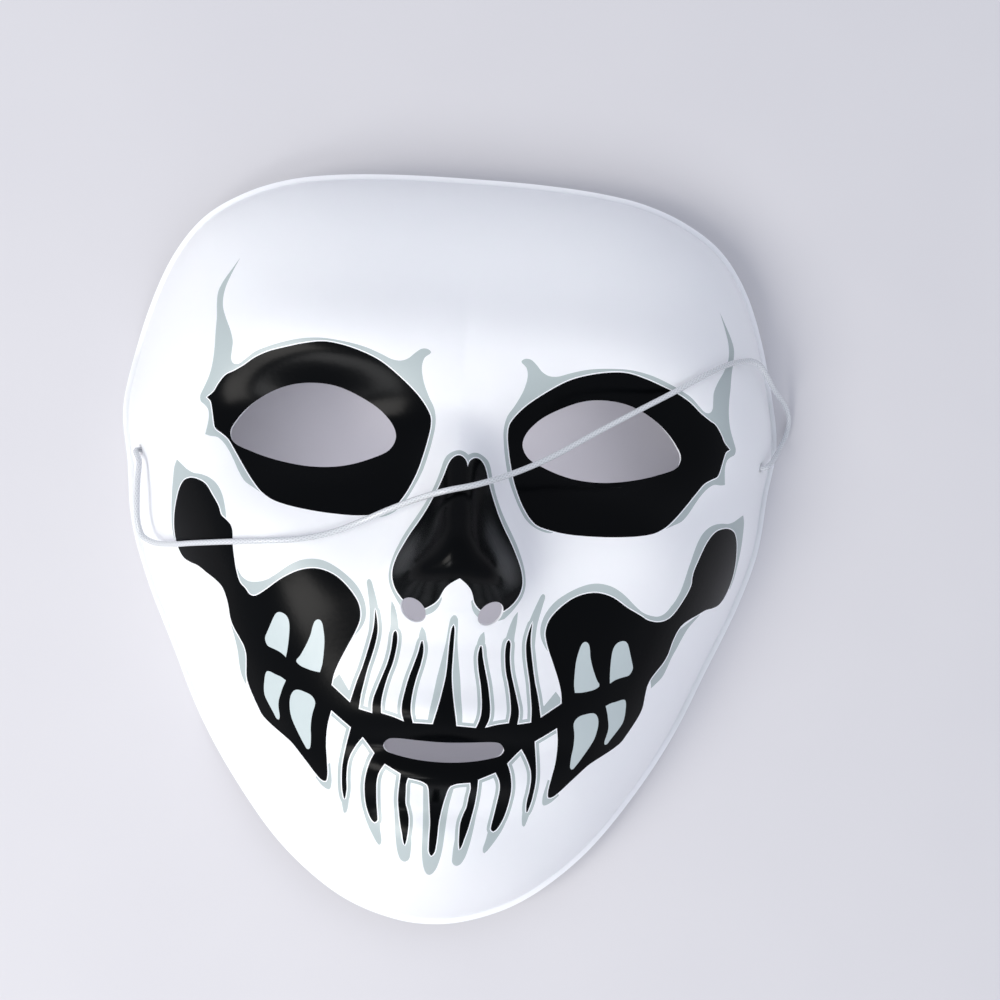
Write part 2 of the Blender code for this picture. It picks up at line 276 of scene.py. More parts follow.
@dataclass(frozen=True)
class PaperFinish:
    """Matt white studio paper under the mask."""

    name: str = "matt_white_paper"
    tint: str = "CDCCCD"
    shade: str = "C8C7C9"
    roughness: float = 0.85
    mottle_mm: float = 60.0
    tooth_mm: float = 0.8
    tooth_depth_mm: float = 0.02

    def material(self) -> bpy.types.Material:
        """Make the finish on Object coordinates.

        Returns:
            The material.
        """
        material = surface_material(self.name, {"Roughness": self.roughness})
        shader = material.node_tree.nodes.active
        place = add_node(material, "ShaderNodeTexCoord").outputs["Object"]
        mottle = add_node(material, "ShaderNodeTexNoise", {
            "Vector": place, "Scale": 1 / (self.mottle_mm * MM)})
        tone = add_node(material, "ShaderNodeMix", {
            "Factor": mottle.outputs["Fac"],
            6: linear_colour(self.tint), 7: linear_colour(self.shade)}, data_type="RGBA")
        tooth = add_node(material, "ShaderNodeTexNoise", {
            "Vector": place, "Scale": 1 / (self.tooth_mm * MM)})
        bump = add_node(material, "ShaderNodeBump", {
            "Height": tooth.outputs["Fac"], "Distance": self.tooth_depth_mm * MM, "Strength": 0.5})
        material.node_tree.links.new(tone.outputs[2], shader.inputs["Base Color"])
        material.node_tree.links.new(bump.outputs["Normal"], shader.inputs["Normal"])
        return material


def smooth_step(value: np.ndarray | float) -> np.ndarray:
    """Ease a share from 0 to 1, flat at both ends.

    Args:
        value: The share, or several, which may lie past either end.

    Returns:
        The eased share.
    """
    share = np.clip(value, 0.0, 1.0)
    return share * share * (3.0 - 2.0 * share)


def eased_from(start: float, value: np.ndarray) -> np.ndarray:
    """Return an eased rise from 0 where the value is at its start to 1 where it is one."""
    return smooth_step((value - start) / (1.0 - start))


def smooth_curve(points: Sequence[Sequence[float]], closed: bool, steps: int) -> np.ndarray:
    """Read points from a smooth curve through the given ones.

    Args:
        points: The points that the curve passes through, of two or three axes.
        closed: Whether the curve joins its end to its start.
        steps: How many points each span gives.

    Returns:
        The curve's points, without a second copy of the first if it is closed.
    """
    route = np.array(points, dtype=float)
    if closed:
        padded = np.vstack([route[-1], route, route[:2]])
    else:
        padded = np.vstack([2 * route[0] - route[1], route, 2 * route[-1] - route[-2]])
    share = (np.arange(steps) / steps)[:, None]
    result = []
    for a, b, c, d in zip(padded, padded[1:], padded[2:], padded[3:]):
        gaps = [max(math.sqrt(np.linalg.norm(q - p)), NEARLY_NONE)
                for p, q in ((a, b), (b, c), (c, d))]
        leave = ((b - a) / gaps[0] - (c - a) / (gaps[0] + gaps[1]) + (c - b) / gaps[1]) * gaps[1]
        arrive = ((c - b) / gaps[1] - (d - b) / (gaps[1] + gaps[2]) + (d - c) / gaps[2]) * gaps[1]
        result.append(
            (2 * share**3 - 3 * share**2 + 1) * b
            + (share**3 - 2 * share**2 + share) * leave
            + (3 * share**2 - 2 * share**3) * c
            + (share**3 - share**2) * arrive
        )
    if not closed:
        result.append(route[-1:])
    return np.vstack(result)


def respace(points: np.ndarray, spacing: float) -> np.ndarray:
    """Read an open line at an even spacing, its two ends kept.

    Args:
        points: The line's points.
        spacing: The distance between the new points, near enough.

    Returns:
        The new points.
    """
    lengths = np.concatenate([[0.0], np.cumsum(np.linalg.norm(np.diff(points, axis=0), axis=1))])
    wanted = np.linspace(0.0, lengths[-1], max(2, round(lengths[-1] / spacing) + 1))
    return np.column_stack([np.interp(wanted, lengths, axis) for axis in points.T])


def closed_outline(points: Sequence[Bend], spacing: float) -> np.ndarray:
    """Read a closed outline at an even spacing, smooth but for its corners.

    Args:
        points: Bends and corners in order.
        spacing: Distance between the points that are read, in millimetres.

    Returns:
        The outline's points, each once.
    """
    corners = [i for i, point in enumerate(points) if isinstance(point, Corner)]
    if not corners:
        ring = smooth_curve(points, True, CURVE_STEPS)
        return respace(np.vstack([ring, ring[:1]]), spacing)[:-1]
    turned = list(points[corners[0]:]) + list(points[:corners[0]]) + [points[corners[0]]]
    marks = [i for i, point in enumerate(turned) if isinstance(point, Corner)]
    stretches = []
    for start, end in zip(marks, marks[1:]):
        stretch = smooth_curve(turned[start:end + 1], False, CURVE_STEPS)
        stretches.append(respace(stretch, spacing)[:-1])
    return np.vstack(stretches)


def is_inside(outline: np.ndarray, places: np.ndarray) -> np.ndarray:
    """Tell which places lie inside a closed outline.

    Args:
        outline: The outline's points.
        places: The places to test.

    Returns:
        True for each place inside.
    """
    inside = np.zeros(len(places), bool)
    near = np.all((places > outline.min(0)) & (places < outline.max(0)), axis=1)
    x, y = places[near, 0], places[near, 1]
    found = np.zeros(len(x), bool)
    for (ax, ay), (bx, by) in zip(outline, np.roll(outline, -1, axis=0)):
        if ay != by:
            found ^= ((ay > y) != (by > y)) & (x < (bx - ax) * (y - ay) / (by - ay) + ax)
    inside[near] = found
    return inside


def grown(outline: np.ndarray, distance: float) -> np.ndarray:
    """Move an outline outwards, without the loops that this makes at its hollows.

    Args:
        outline: The outline's points, in millimetres.
        distance: How far it moves, in millimetres.

    Returns:
        The points of the moved outline.
    """
    ahead = np.roll(outline, -1, axis=0)
    step = ahead - np.roll(outline, 1, axis=0)
    area = np.sum(outline[:, 0] * ahead[:, 1] - ahead[:, 0] * outline[:, 1])
    outward = np.column_stack([step[:, 1], -step[:, 0]]) * math.copysign(1.0, area)
    moved = outline + outward / np.linalg.norm(outward, axis=1)[:, None] * distance
    tree = point_tree(outline)
    clear = [tree.find((*point, 0.0))[2] > CLEAR_SHARE * distance for point in moved]
    return moved[np.array(clear)]


def point_tree(points: np.ndarray) -> kdtree.KDTree:
    """Make a search tree of flat points.

    Args:
        points: The points, of two axes.

    Returns:
        The tree, whose finds give a point's number in the array.
    """
    tree = kdtree.KDTree(len(points))
    for index, point in enumerate(points):
        tree.insert((*point, 0.0), index)
    tree.balance()
    return tree


def nearer_than(outlines: Sequence[np.ndarray], places: np.ndarray, distance: float) -> np.ndarray:
    """Tell which places lie near an outline.

    Args:
        outlines: The closed outlines, in millimetres.
        places: The places to test.
        distance: The most that counts as near, in millimetres.

    Returns:
        True for each place that is near.
    """
    dense = [respace(np.vstack([outline, outline[:1]]), FINE_SPACING_MM) for outline in outlines]
    tree = point_tree(np.vstack(dense))
    return np.array([tree.find((*place, 0.0))[2] < distance for place in places])


class RimPoint(NamedTuple):
    """A point of the rim's outline, in shares of half the mask's width and half its height."""

    across: float
    up: float


class Form(NamedTuple):
    """A raised or sunk form: place and spread in shares of half the width and half the height."""

    name: str
    across: float
    up: float
    spread_across: float
    spread_up: float
    rise: float
    fullness: float


class NoseSection(NamedTuple):
    """A section of the nose, in shares of half the height, the nose's rise and half the width."""

    up: float
    rise: float
    half_width: float


@dataclass(frozen=True)
class Face:
    """The moulded front surface, as a height over the plane of the rim, in metres.

    The plain dome falls from the middle to the lip, more squarely at the forehead and the chin.
    Each "from" is the sine of the direction, seen from the middle, where such a change begins.
    """

    width: float = 0.184
    tall: float = 0.200
    depth: float = 0.052
    nose_rise: float = 0.024
    nose_roundness: float = 2.2
    relief: float = 0.010
    wall: float = 0.0008
    lip: float = 0.0018
    lip_bend_in: float = 0.00035
    lip_bend_out: float = 0.00060
    lip_bend_steps: int = 60
    forehead_lift: float = 0.016
    forehead_lifts_from: float = 0.45
    chin_lift: float = 0.009
    chin_lifts_from: float = 0.55
    dome_power: float = 3.2
    dome_power_lost_up: float = 0.5
    dome_fullness: float = 1.28
    dome_fuller_up: float = 0.10
    dome_fuller_down: float = 0.12
    dome_ends_from: float = 0.2
    rim: tuple[RimPoint, ...] = (
        RimPoint(0.00, 1.000), RimPoint(0.22, 0.997), RimPoint(0.40, 0.986),
        RimPoint(0.53, 0.968), RimPoint(0.66, 0.929), RimPoint(0.78, 0.864),
        RimPoint(0.87, 0.763), RimPoint(0.94, 0.62), RimPoint(0.985, 0.46), RimPoint(1.00, 0.33),
        RimPoint(0.975, 0.19), RimPoint(0.95, 0.03), RimPoint(0.895, -0.12),
        RimPoint(0.80, -0.31), RimPoint(0.70, -0.50), RimPoint(0.57, -0.67),
        RimPoint(0.42, -0.825), RimPoint(0.25, -0.94), RimPoint(0.10, -0.99),
        RimPoint(0.00, -1.00),
    )
    forms: tuple[Form, ...] = (
        Form("brow ridge", 0.33, 0.47, 0.38, 0.125, 0.36, 2.0),
        Form("frown", 0.00, 0.50, 0.17, 0.10, 0.15, 2.0),
        Form("eye socket", 0.38, 0.26, 0.26, 0.135, -0.90, 2.4),
        Form("nose root", 0.00, 0.29, 0.11, 0.07, -0.20, 2.0),
        Form("cheekbone", 0.53, -0.03, 0.20, 0.13, 0.40, 2.0),
        Form("nose wing", 0.105, -0.095, 0.052, 0.055, 0.45, 2.0),
        Form("muzzle", 0.00, -0.43, 0.34, 0.28, 0.70, 2.0),
        Form("upper lip", 0.00, -0.415, 0.22, 0.04, 0.20, 2.0),
        Form("mouth line", 0.00, -0.50, 0.26, 0.034, -0.25, 2.0),
        Form("lower lip", 0.00, -0.57, 0.17, 0.038, 0.25, 2.0),
        Form("chin fold", 0.00, -0.645, 0.20, 0.045, -0.30, 2.0),
        Form("chin", 0.00, -0.77, 0.20, 0.11, 0.50, 2.0),
    )
    nose: tuple[NoseSection, ...] = (
        NoseSection(-0.30, 0.00, 0.141), NoseSection(-0.25, 0.02, 0.141),
        NoseSection(-0.19, 0.23, 0.141), NoseSection(-0.14, 0.58, 0.136),
        NoseSection(-0.09, 0.91, 0.125), NoseSection(-0.04, 0.98, 0.108),
        NoseSection(0.03, 0.79, 0.092), NoseSection(0.12, 0.49, 0.082),
        NoseSection(0.22, 0.20, 0.078), NoseSection(0.30, 0.03, 0.078),
        NoseSection(0.36, 0.00, 0.080),
    )

    def rim_line(self) -> tuple[np.ndarray, np.ndarray]:
        """Read the rim's edge.

        Returns:
            The directions from the middle, rising, and the distance to the edge in each.
        """
        half = [(p.across * self.width / 2, p.up * self.tall / 2) for p in self.rim]
        other = [(-x, y) for x, y in half[-2:0:-1]]
        outline = smooth_curve(half + other, True, RIM_CURVE_STEPS)
        angles = np.arctan2(outline[:, 1], outline[:, 0])
        order = np.argsort(angles)
        return angles[order], np.hypot(outline[:, 0], outline[:, 1])[order]

    def reach(self, angle: np.ndarray) -> np.ndarray:
        """Return the distance from the middle to the rim's edge in each direction."""
        angles, radii = self.rim_line()
        return np.interp(angle, angles, radii, period=2 * math.pi)

    def foot(self, angle: np.ndarray) -> np.ndarray:
        """Return the height of the lip's upper side, which lifts at the forehead and the chin.

        Args:
            angle: Directions from the middle.

        Returns:
            The heights over the rim's plane.
        """
        sine = np.sin(angle)
        forehead = self.forehead_lift * eased_from(self.forehead_lifts_from, sine)
        chin = self.chin_lift * eased_from(self.chin_lifts_from, -sine)
        return forehead + chin + self.wall

    def height(self, x: np.ndarray, y: np.ndarray) -> np.ndarray:
        """Return the height of the front surface, from its middle to the lip's edge.

        Args:
            x: Places across the rim's plane.
            y: Places up the rim's plane.

        Returns:
            The heights over the rim's plane.
        """
        angle, radius = np.arctan2(y, x), np.hypot(x, y)
        edge = self.reach(angle) - self.lip
        inset = edge - radius
        share = np.clip(np.minimum(radius, edge - self.lip_bend_in) / edge, 0.0, 1.0)
        up = eased_from(self.dome_ends_from, np.sin(angle))
        down = eased_from(self.dome_ends_from, -np.sin(angle))
        foot = self.foot(angle)
        power = self.dome_power - self.dome_power_lost_up * up
        fullness = self.dome_fullness + self.dome_fuller_up * up + self.dome_fuller_down * down
        rise = (self.depth - foot) * np.power(1.0 - np.power(share, power), 1.0 / fullness)
        turn = np.linspace(0.0, 1.0, self.lip_bend_steps)
        bend = (1 - turn) ** 2 * self.lip_bend_in - turn**2 * self.lip_bend_out
        falling = np.interp(-inset, -bend, (1 - turn) ** 2)
        share_left = np.where(inset < self.lip_bend_in, falling, 1.0)
        return foot + (rise + self.features(x, y)) * share_left

    def features(self, x: np.ndarray, y: np.ndarray) -> np.ndarray:
        """Return the rise of the nose and the forms over the plain dome.

        Args:
            x: Places across the rim's plane.
            y: Places up the rim's plane.

        Returns:
            The rise at each place.
        """
        sections = [
            (s.up * self.tall / 2, s.rise * self.nose_rise, s.half_width * self.width / 2)
            for s in self.nose]
        table = smooth_curve(sections, False, NOSE_CURVE_STEPS)
        crest = np.interp(y, table[:, 0], table[:, 1])
        reach = np.interp(y, table[:, 0], table[:, 2])
        total = crest * np.exp(-np.power(np.abs(x) / reach, self.nose_roundness))
        half_width, half_height = self.width / 2, self.tall / 2
        for form in self.forms:
            across = (np.abs(x) - form.across * half_width) / (form.spread_across * half_width)
            up = (y - form.up * half_height) / (form.spread_up * half_height)
            swell = np.exp(-np.power(across**2 + up**2, form.fullness / 2))
            total = total + form.rise * self.relief * swell
        return total

    def normals(self, x: np.ndarray, y: np.ndarray) -> np.ndarray:
        """Return the outward directions of the front surface.

        Args:
            x: Places across the rim's plane.
            y: Places up the rim's plane.

        Returns:
            One direction of length one for each place.
        """
        step = SLOPE_STEP_MM * MM
        slope_x = (self.height(x + step, y) - self.height(x - step, y)) / (2 * step)
        slope_y = (self.height(x, y + step) - self.height(x, y - step)) / (2 * step)
        raw = np.column_stack([-slope_x, -slope_y, np.ones_like(slope_x)])
        return raw / np.linalg.norm(raw, axis=1)[:, None]

    def hole_frame(self, across: float, up: float) -> tuple[Vector, Vector]:
        """Find where a hole is punched through the sheet.

        Args:
            across: Its place in shares of half the width.
            up: Its place in shares of half the height.

        Returns:
            The point on the front and the outward direction there.
        """
        x, y = np.array([across * self.width / 2]), np.array([up * self.tall / 2])
        return Vector((x[0], y[0], self.height(x, y)[0])), Vector(self.normals(x, y)[0])


@dataclass(frozen=True)
class Openings:
    """The eye, nostril and mouth openings and the two holes for the elastic, in millimetres.

    The eye's and the mouth's outlines are in shares of their width and height, and the elastic's
    holes in shares of half the mask's.
    """

    face: Face
    eye_spacing: float = 71.6
    eye_level: float = 23.0
    eye_width: float = 40.8
    eye_height: float = 20.8
    nostril_spacing: float = 17.8
    nostril_level: float = -18.3
    nostril_length: float = 6.6
    nostril_width: float = 4.7
    nostril_slant_deg: float = 40.0
    mouth_level: float = -50.0
    mouth_length: float = 28.2
    mouth_height: float = 5.0
    cord_hole: float = 3.0
    nostril_sides: int = 40
    cord_hole_sides: int = 24
    cord_places: tuple[tuple[float, float], ...] = ((-0.907, 0.206), (0.907, 0.252))
    eye: tuple[Bend, ...] = (
        Bend(-0.500, -0.01), Bend(-0.483, 0.13), Bend(-0.400, 0.32), Bend(-0.265, 0.48),
        Bend(-0.130, 0.58), Bend(0.005, 0.61), Bend(0.152, 0.58), Bend(0.287, 0.48),
        Bend(0.397, 0.33), Bend(0.468, 0.165), Bend(0.500, 0.02), Bend(0.475, -0.11),
        Bend(0.348, -0.23), Bend(0.176, -0.33), Bend(-0.020, -0.385), Bend(-0.203, -0.36),
        Bend(-0.363, -0.26), Bend(-0.466, -0.15),
    )
    mouth: tuple[Bend, ...] = (
        Bend(0.00, 0.33), Bend(0.21, 0.37), Bend(0.40, 0.42), Bend(0.46, 0.36), Bend(0.50, 0.04),
        Bend(0.475, -0.20), Bend(0.41, -0.33), Bend(0.23, -0.51), Bend(0.00, -0.58),
    )

    def outlines(self, spacing: float) -> list[np.ndarray]:
        """Draw every opening on the rim's plane.

        Args:
            spacing: Distance between points, in millimetres.

        Returns:
            The outlines, in millimetres.
        """
        found = [self.mouth_outline(spacing)]
        for side in SIDES:
            found += [self.eye_outline(side, spacing), self.nostril_outline(side)]
        return found + [self.hole_outline(across, up) for across, up in self.cord_places]

    def mouth_outline(self, spacing: float) -> np.ndarray:
        """Draw the mouth slot.

        Args:
            spacing: Distance between points.

        Returns:
            The outline.
        """
        half = [Bend(p.x * self.mouth_length, self.mouth_level + p.y * self.mouth_height)
                for p in self.mouth]
        return closed_outline(half + [Bend(-p.x, p.y) for p in half[-2:0:-1]], spacing)

    def eye_outline(self, side: float, spacing: float) -> np.ndarray:
        """Draw an eye opening.

        Args:
            side: Minus one for the left side, one for the right.
            spacing: Distance between points.

        Returns:
            The outline.
        """
        eye = [Bend(side * (self.eye_spacing / 2 + p.x * self.eye_width),
                    self.eye_level + p.y * self.eye_height) for p in self.eye]
        return closed_outline(eye, spacing)

    def nostril_outline(self, side: float) -> np.ndarray:
        """Draw a nostril opening, an ellipse that slants.

        Args:
            side: Minus one for the left side, one for the right.

        Returns:
            The outline.
        """
        slant = math.radians(self.nostril_slant_deg)
        turn = np.linspace(0, 2 * math.pi, self.nostril_sides, endpoint=False)
        along = np.cos(turn) * self.nostril_length / 2
        aside = np.sin(turn) * self.nostril_width / 2
        outwards = along * math.cos(slant) - aside * math.sin(slant)
        upwards = along * math.sin(slant) + aside * math.cos(slant)
        return np.column_stack([
            side * (self.nostril_spacing / 2 + outwards), self.nostril_level + upwards])

    def hole_outline(self, across: float, up: float) -> np.ndarray:
        """Draw a hole for the elastic, round in the slope of the sheet.

        Args:
            across: Its place in shares of half the width.
            up: Its place in shares of half the height.

        Returns:
            The outline.
        """
        centre, outward = self.face.hole_frame(across, up)
        ring = outward.to_track_quat("Z", "Y").to_matrix()
        radius = self.cord_hole / 2
        return np.array([
            (centre / MM + ring @ Vector((math.cos(a) * radius, math.sin(a) * radius, 0)))[:2]
            for a in np.linspace(0, 2 * math.pi, self.cord_hole_sides, endpoint=False)])


@dataclass(frozen=True)
class SkullFigure:
    """The printed skull, drawn flat in millimetres and laid a little turned on the mould.

    Each outline is the right side's, or the right half of a shape across the middle line.
    Black shapes lie over a thin bare line, and that over grey shades. Pale teeth lie in the black.
    """

    shift: float = 1.28
    edge_drift: float = 0.95
    drift_reach: float = 55.0
    turn_deg: float = -2.04
    bare_line: float = 0.27
    tooth_shade: float = 1.0
    spacing: float = 0.5
    socket: tuple[Bend, ...] = (
        Bend(9.4, 25.5), Bend(9.6, 28.0), Bend(10.8, 30.2), Bend(13.3, 33.1), Bend(18.0, 36.9),
        Bend(23.0, 40.1), Bend(28.0, 42.0), Bend(33.0, 43.2), Bend(37.2, 43.6),
        Bend(42.0, 42.95), Bend(47.0, 41.8), Bend(51.0, 40.75), Bend(54.5, 39.25),
        Bend(57.5, 37.3), Bend(60.0, 36.0), Bend(62.0, 35.1), Bend(63.8, 33.0), Bend(65.0, 31.0),
        Corner(66.7, 29.6), Bend(65.6, 28.7), Bend(65.0, 27.0), Bend(64.3, 24.3),
        Bend(63.5, 22.0), Bend(61.7, 20.8), Bend(59.7, 19.4), Bend(57.4, 16.5), Bend(54.5, 12.7),
        Bend(51.6, 9.2), Bend(48.9, 6.5), Bend(46.0, 4.7), Bend(42.0, 3.55), Bend(36.0, 2.7),
        Bend(30.0, 2.35), Bend(25.0, 2.4), Bend(20.7, 3.0), Bend(17.7, 3.9), Bend(16.0, 5.4),
        Bend(14.2, 8.0), Bend(12.9, 10.6), Bend(11.6, 14.0), Bend(10.6, 18.0), Bend(9.9, 21.6),
    )
    socket_shade: tuple[Bend, ...] = (
        Bend(10.9, 43.0), Bend(11.6, 43.7), Bend(13.1, 43.75), Bend(14.7, 42.6),
        Bend(16.2, 41.2), Bend(17.9, 40.5), Bend(20.0, 40.6), Bend(23.0, 41.7), Bend(27.0, 43.0),
        Bend(32.0, 43.9), Bend(38.0, 44.4), Bend(43.0, 44.0), Bend(47.5, 43.0), Bend(51.5, 41.8),
        Bend(54.5, 40.6), Bend(57.0, 38.8), Bend(58.8, 37.7), Bend(60.2, 37.9), Bend(60.8, 39.0),
        Bend(60.8, 41.0), Bend(60.8, 43.2), Bend(61.8, 46.0), Bend(63.6, 49.4), Bend(65.0, 52.5),
        Bend(65.5, 55.5), Bend(65.3, 58.5), Bend(64.4, 61.8), Corner(62.7, 66.7),
        Bend(64.6, 63.2), Bend(66.4, 60.0), Bend(67.3, 57.2), Bend(67.1, 54.0), Bend(66.4, 50.0),
        Bend(66.1, 46.0), Bend(65.8, 42.0), Bend(65.9, 38.5), Bend(66.5, 35.2), Bend(67.7, 32.2),
        Bend(68.6, 30.0), Bend(68.3, 28.6), Bend(67.2, 27.8), Bend(66.1, 26.7), Bend(65.6, 25.0),
        Bend(65.7, 22.5), Corner(66.0, 20.3), Bend(64.6, 19.9), Bend(62.7, 19.7),
        Bend(61.0, 18.6), Bend(59.0, 16.4), Bend(57.2, 13.8), Bend(55.3, 10.9), Bend(53.5, 8.8),
        Bend(51.0, 7.3), Corner(46.5, 4.9), Bend(35.0, 6.0), Corner(23.0, 3.0), Bend(20.9, 2.3),
        Bend(17.8, 3.0), Bend(15.2, 4.8), Bend(13.4, 7.4), Bend(11.9, 10.4), Bend(10.4, 14.0),
        Bend(9.4, 18.0), Bend(8.7, 22.0), Bend(8.3, 26.7), Bend(8.9, 30.0), Bend(10.6, 33.0),
        Bend(12.2, 36.5), Bend(12.8, 39.7), Bend(12.3, 41.7),
    )
    nose: tuple[Bend, ...] = (
        Corner(0.0, 15.3), Bend(0.3, 16.5), Bend(0.9, 17.4), Bend(1.9, 18.0), Bend(2.9, 17.8),
        Bend(3.9, 16.8), Bend(4.6, 15.2), Bend(5.2, 13.0), Bend(5.9, 10.8), Bend(7.0, 8.0),
        Bend(8.3, 5.0), Bend(9.9, 2.0), Bend(11.7, -1.0), Bend(13.2, -4.0), Bend(14.4, -6.8),
        Bend(15.05, -9.5), Bend(15.0, -11.5), Bend(14.3, -13.6), Bend(12.9, -15.6),
        Bend(11.0, -17.2), Bend(8.8, -18.1), Bend(7.2, -18.1), Bend(5.9, -17.4),
        Bend(4.8, -16.6), Bend(4.0, -15.6), Bend(3.5, -14.4), Bend(2.9, -13.2), Bend(1.9, -12.2),
        Bend(0.9, -11.5), Corner(0.0, -10.95),
    )
    nose_shade: tuple[Bend, ...] = (
        Corner(0.0, 18.4), Bend(1.0, 19.1), Bend(2.2, 19.35), Bend(3.6, 18.9), Bend(4.9, 17.9),
        Bend(5.6, 16.4), Bend(6.1, 14.3), Bend(6.7, 12.0), Bend(7.5, 9.6), Bend(8.6, 7.0),
        Bend(10.0, 4.3), Bend(11.6, 1.6), Bend(13.1, -1.1), Bend(14.3, -3.8), Bend(15.2, -6.3),
        Bend(15.8, -9.0), Bend(15.9, -11.3), Bend(15.4, -13.4), Bend(14.2, -15.6),
        Bend(12.9, -17.4), Corner(11.6, -18.9), Bend(9.5, -19.6), Bend(6.6, -19.5),
        Bend(5.0, -18.7), Bend(3.9, -17.4), Corner(3.3, -15.6), Corner(3.8, -14.5),
        Corner(0.0, -10.0),
    )
    cheek_dome: tuple[Bend, ...] = (
        Corner(27.1, -37.5), Bend(26.8, -35.2), Bend(25.9, -32.3), Bend(24.2, -28.3),
        Bend(22.45, -24.2), Bend(21.75, -21.4), Bend(22.3, -18.5), Bend(24.5, -15.4),
        Bend(28.6, -12.1), Bend(33.0, -10.8), Bend(37.0, -11.4), Bend(41.5, -13.7),
    )
    cheek_neck_left: tuple[Bend, ...] = (
        Bend(45.3, -16.6), Bend(47.2, -17.9), Bend(48.45, -18.4), Bend(49.6, -18.1),
        Bend(50.8, -16.8), Bend(52.25, -15.5), Bend(53.3, -13.0), Bend(54.1, -9.5),
        Bend(54.65, -6.5), Bend(54.95, -3.5), Bend(55.65, -2.0), Bend(57.2, -0.7),
        Bend(58.45, 0.2), Bend(59.5, 2.3),
    )
    cheek_neck_right: tuple[Bend, ...] = (
        Bend(45.1, -15.2), Bend(47.1, -16.1), Bend(49.35, -16.4), Bend(51.45, -16.1),
        Bend(53.2, -15.2), Bend(54.65, -13.6), Bend(56.1, -11.2), Bend(57.55, -8.2),
        Bend(58.15, -6.2), Bend(58.05, -4.6), Bend(58.3, -2.8), Bend(59.2, -0.3),
        Bend(60.3, 2.4),
    )
    cheek_outside: tuple[Bend, ...] = (
        Bend(61.8, 5.2), Bend(64.0, 7.7), Bend(66.3, 8.9), Bend(68.7, 9.35), Bend(70.7, 8.8),
        Bend(71.9, 7.0), Bend(72.6, 4.0), Bend(72.95, 0.6), Bend(72.8, -2.8), Bend(72.1, -5.8),
        Bend(70.9, -8.4), Bend(69.3, -10.3), Bend(67.2, -11.3), Bend(64.6, -12.1),
        Bend(62.0, -13.6), Bend(59.4, -15.1), Bend(57.4, -16.7), Bend(56.3, -18.6),
        Bend(55.4, -21.2), Bend(54.7, -24.2), Bend(53.6, -26.4), Bend(52.0, -28.5),
        Bend(50.5, -30.6), Bend(49.75, -32.5), Bend(49.5, -35.0), Bend(49.3, -38.0),
        Bend(48.6, -40.0), Bend(47.3, -42.4), Bend(45.7, -45.0), Bend(44.4, -46.9),
        Bend(41.8, -48.9), Bend(38.4, -51.0), Bend(36.0, -52.6), Bend(33.8, -54.7),
        Bend(31.6, -56.9), Bend(29.6, -59.0), Bend(27.9, -60.5), Bend(26.8, -60.7),
        Bend(26.45, -59.2), Bend(26.8, -55.5), Bend(27.3, -52.0), Bend(27.4, -49.0),
        Bend(27.2, -46.5), Corner(26.6, -43.35),
    )
    cheek_shade: tuple[Bend, ...] = (
        Corner(23.5, -26.5), Bend(21.6, -24.2), Bend(20.6, -22.0), Bend(20.5, -19.8),
        Bend(21.3, -17.0), Bend(23.2, -14.1), Bend(25.6, -12.0), Bend(28.8, -10.0),
        Bend(31.5, -8.9), Bend(34.0, -8.6), Bend(37.0, -9.1), Bend(40.0, -10.6),
        Bend(43.2, -13.0), Bend(45.5, -14.4), Bend(47.8, -15.0), Bend(50.0, -15.0),
        Bend(51.8, -14.0), Corner(53.4, -11.8), Corner(56.0, -14.5), Corner(48.0, -20.0),
        Corner(36.0, -14.0),
    )
    temple_shade: tuple[Bend, ...] = (
        Corner(56.8, -1.5), Bend(57.4, 1.2), Bend(59.0, 5.3), Bend(60.9, 7.8), Bend(63.3, 9.4),
        Bend(65.8, 10.2), Bend(68.2, 10.6), Bend(70.2, 11.5), Bend(72.0, 12.8),
        Corner(73.7, 14.0), Bend(74.3, 12.3), Bend(74.4, 9.0), Bend(74.3, 5.0), Bend(74.0, 1.0),
        Bend(73.6, -2.5), Corner(72.7, -5.8), Corner(66.0, 0.0),
    )
    neck_shade_right: tuple[Bend, ...] = (
        Corner(51.5, -15.8), Bend(53.0, -12.6), Bend(54.2, -10.5), Bend(55.1, -8.3),
        Bend(55.8, -5.3), Bend(56.4, -2.5), Corner(57.3, 0.8), Corner(60.0, 1.0),
        Corner(59.0, -6.0), Corner(56.0, -14.0),
    )
    jaw_shade_right: tuple[Bend, ...] = (
        Corner(64.0, -12.2), Bend(61.6, -14.9), Bend(59.6, -17.4), Bend(58.3, -20.0),
        Bend(57.2, -22.5), Bend(56.0, -25.0), Bend(55.1, -27.6), Bend(54.0, -30.0),
        Corner(51.0, -33.0), Corner(50.0, -29.0), Corner(54.0, -20.0),
    )
    jaw_shade_left: tuple[Bend, ...] = (
        Corner(54.4, -26.0), Bend(53.2, -29.0), Bend(52.2, -32.0), Bend(51.6, -35.0),
        Bend(50.9, -37.5), Corner(49.5, -40.0), Corner(48.5, -35.0), Corner(52.0, -26.0),
    )
    tooth_patch: tuple[Bend, ...] = (
        Corner(25.4, -34.8), Corner(27.6, -37.2), Corner(22.1, -41.6), Corner(21.2, -38.0),
        Corner(22.9, -38.2),
    )
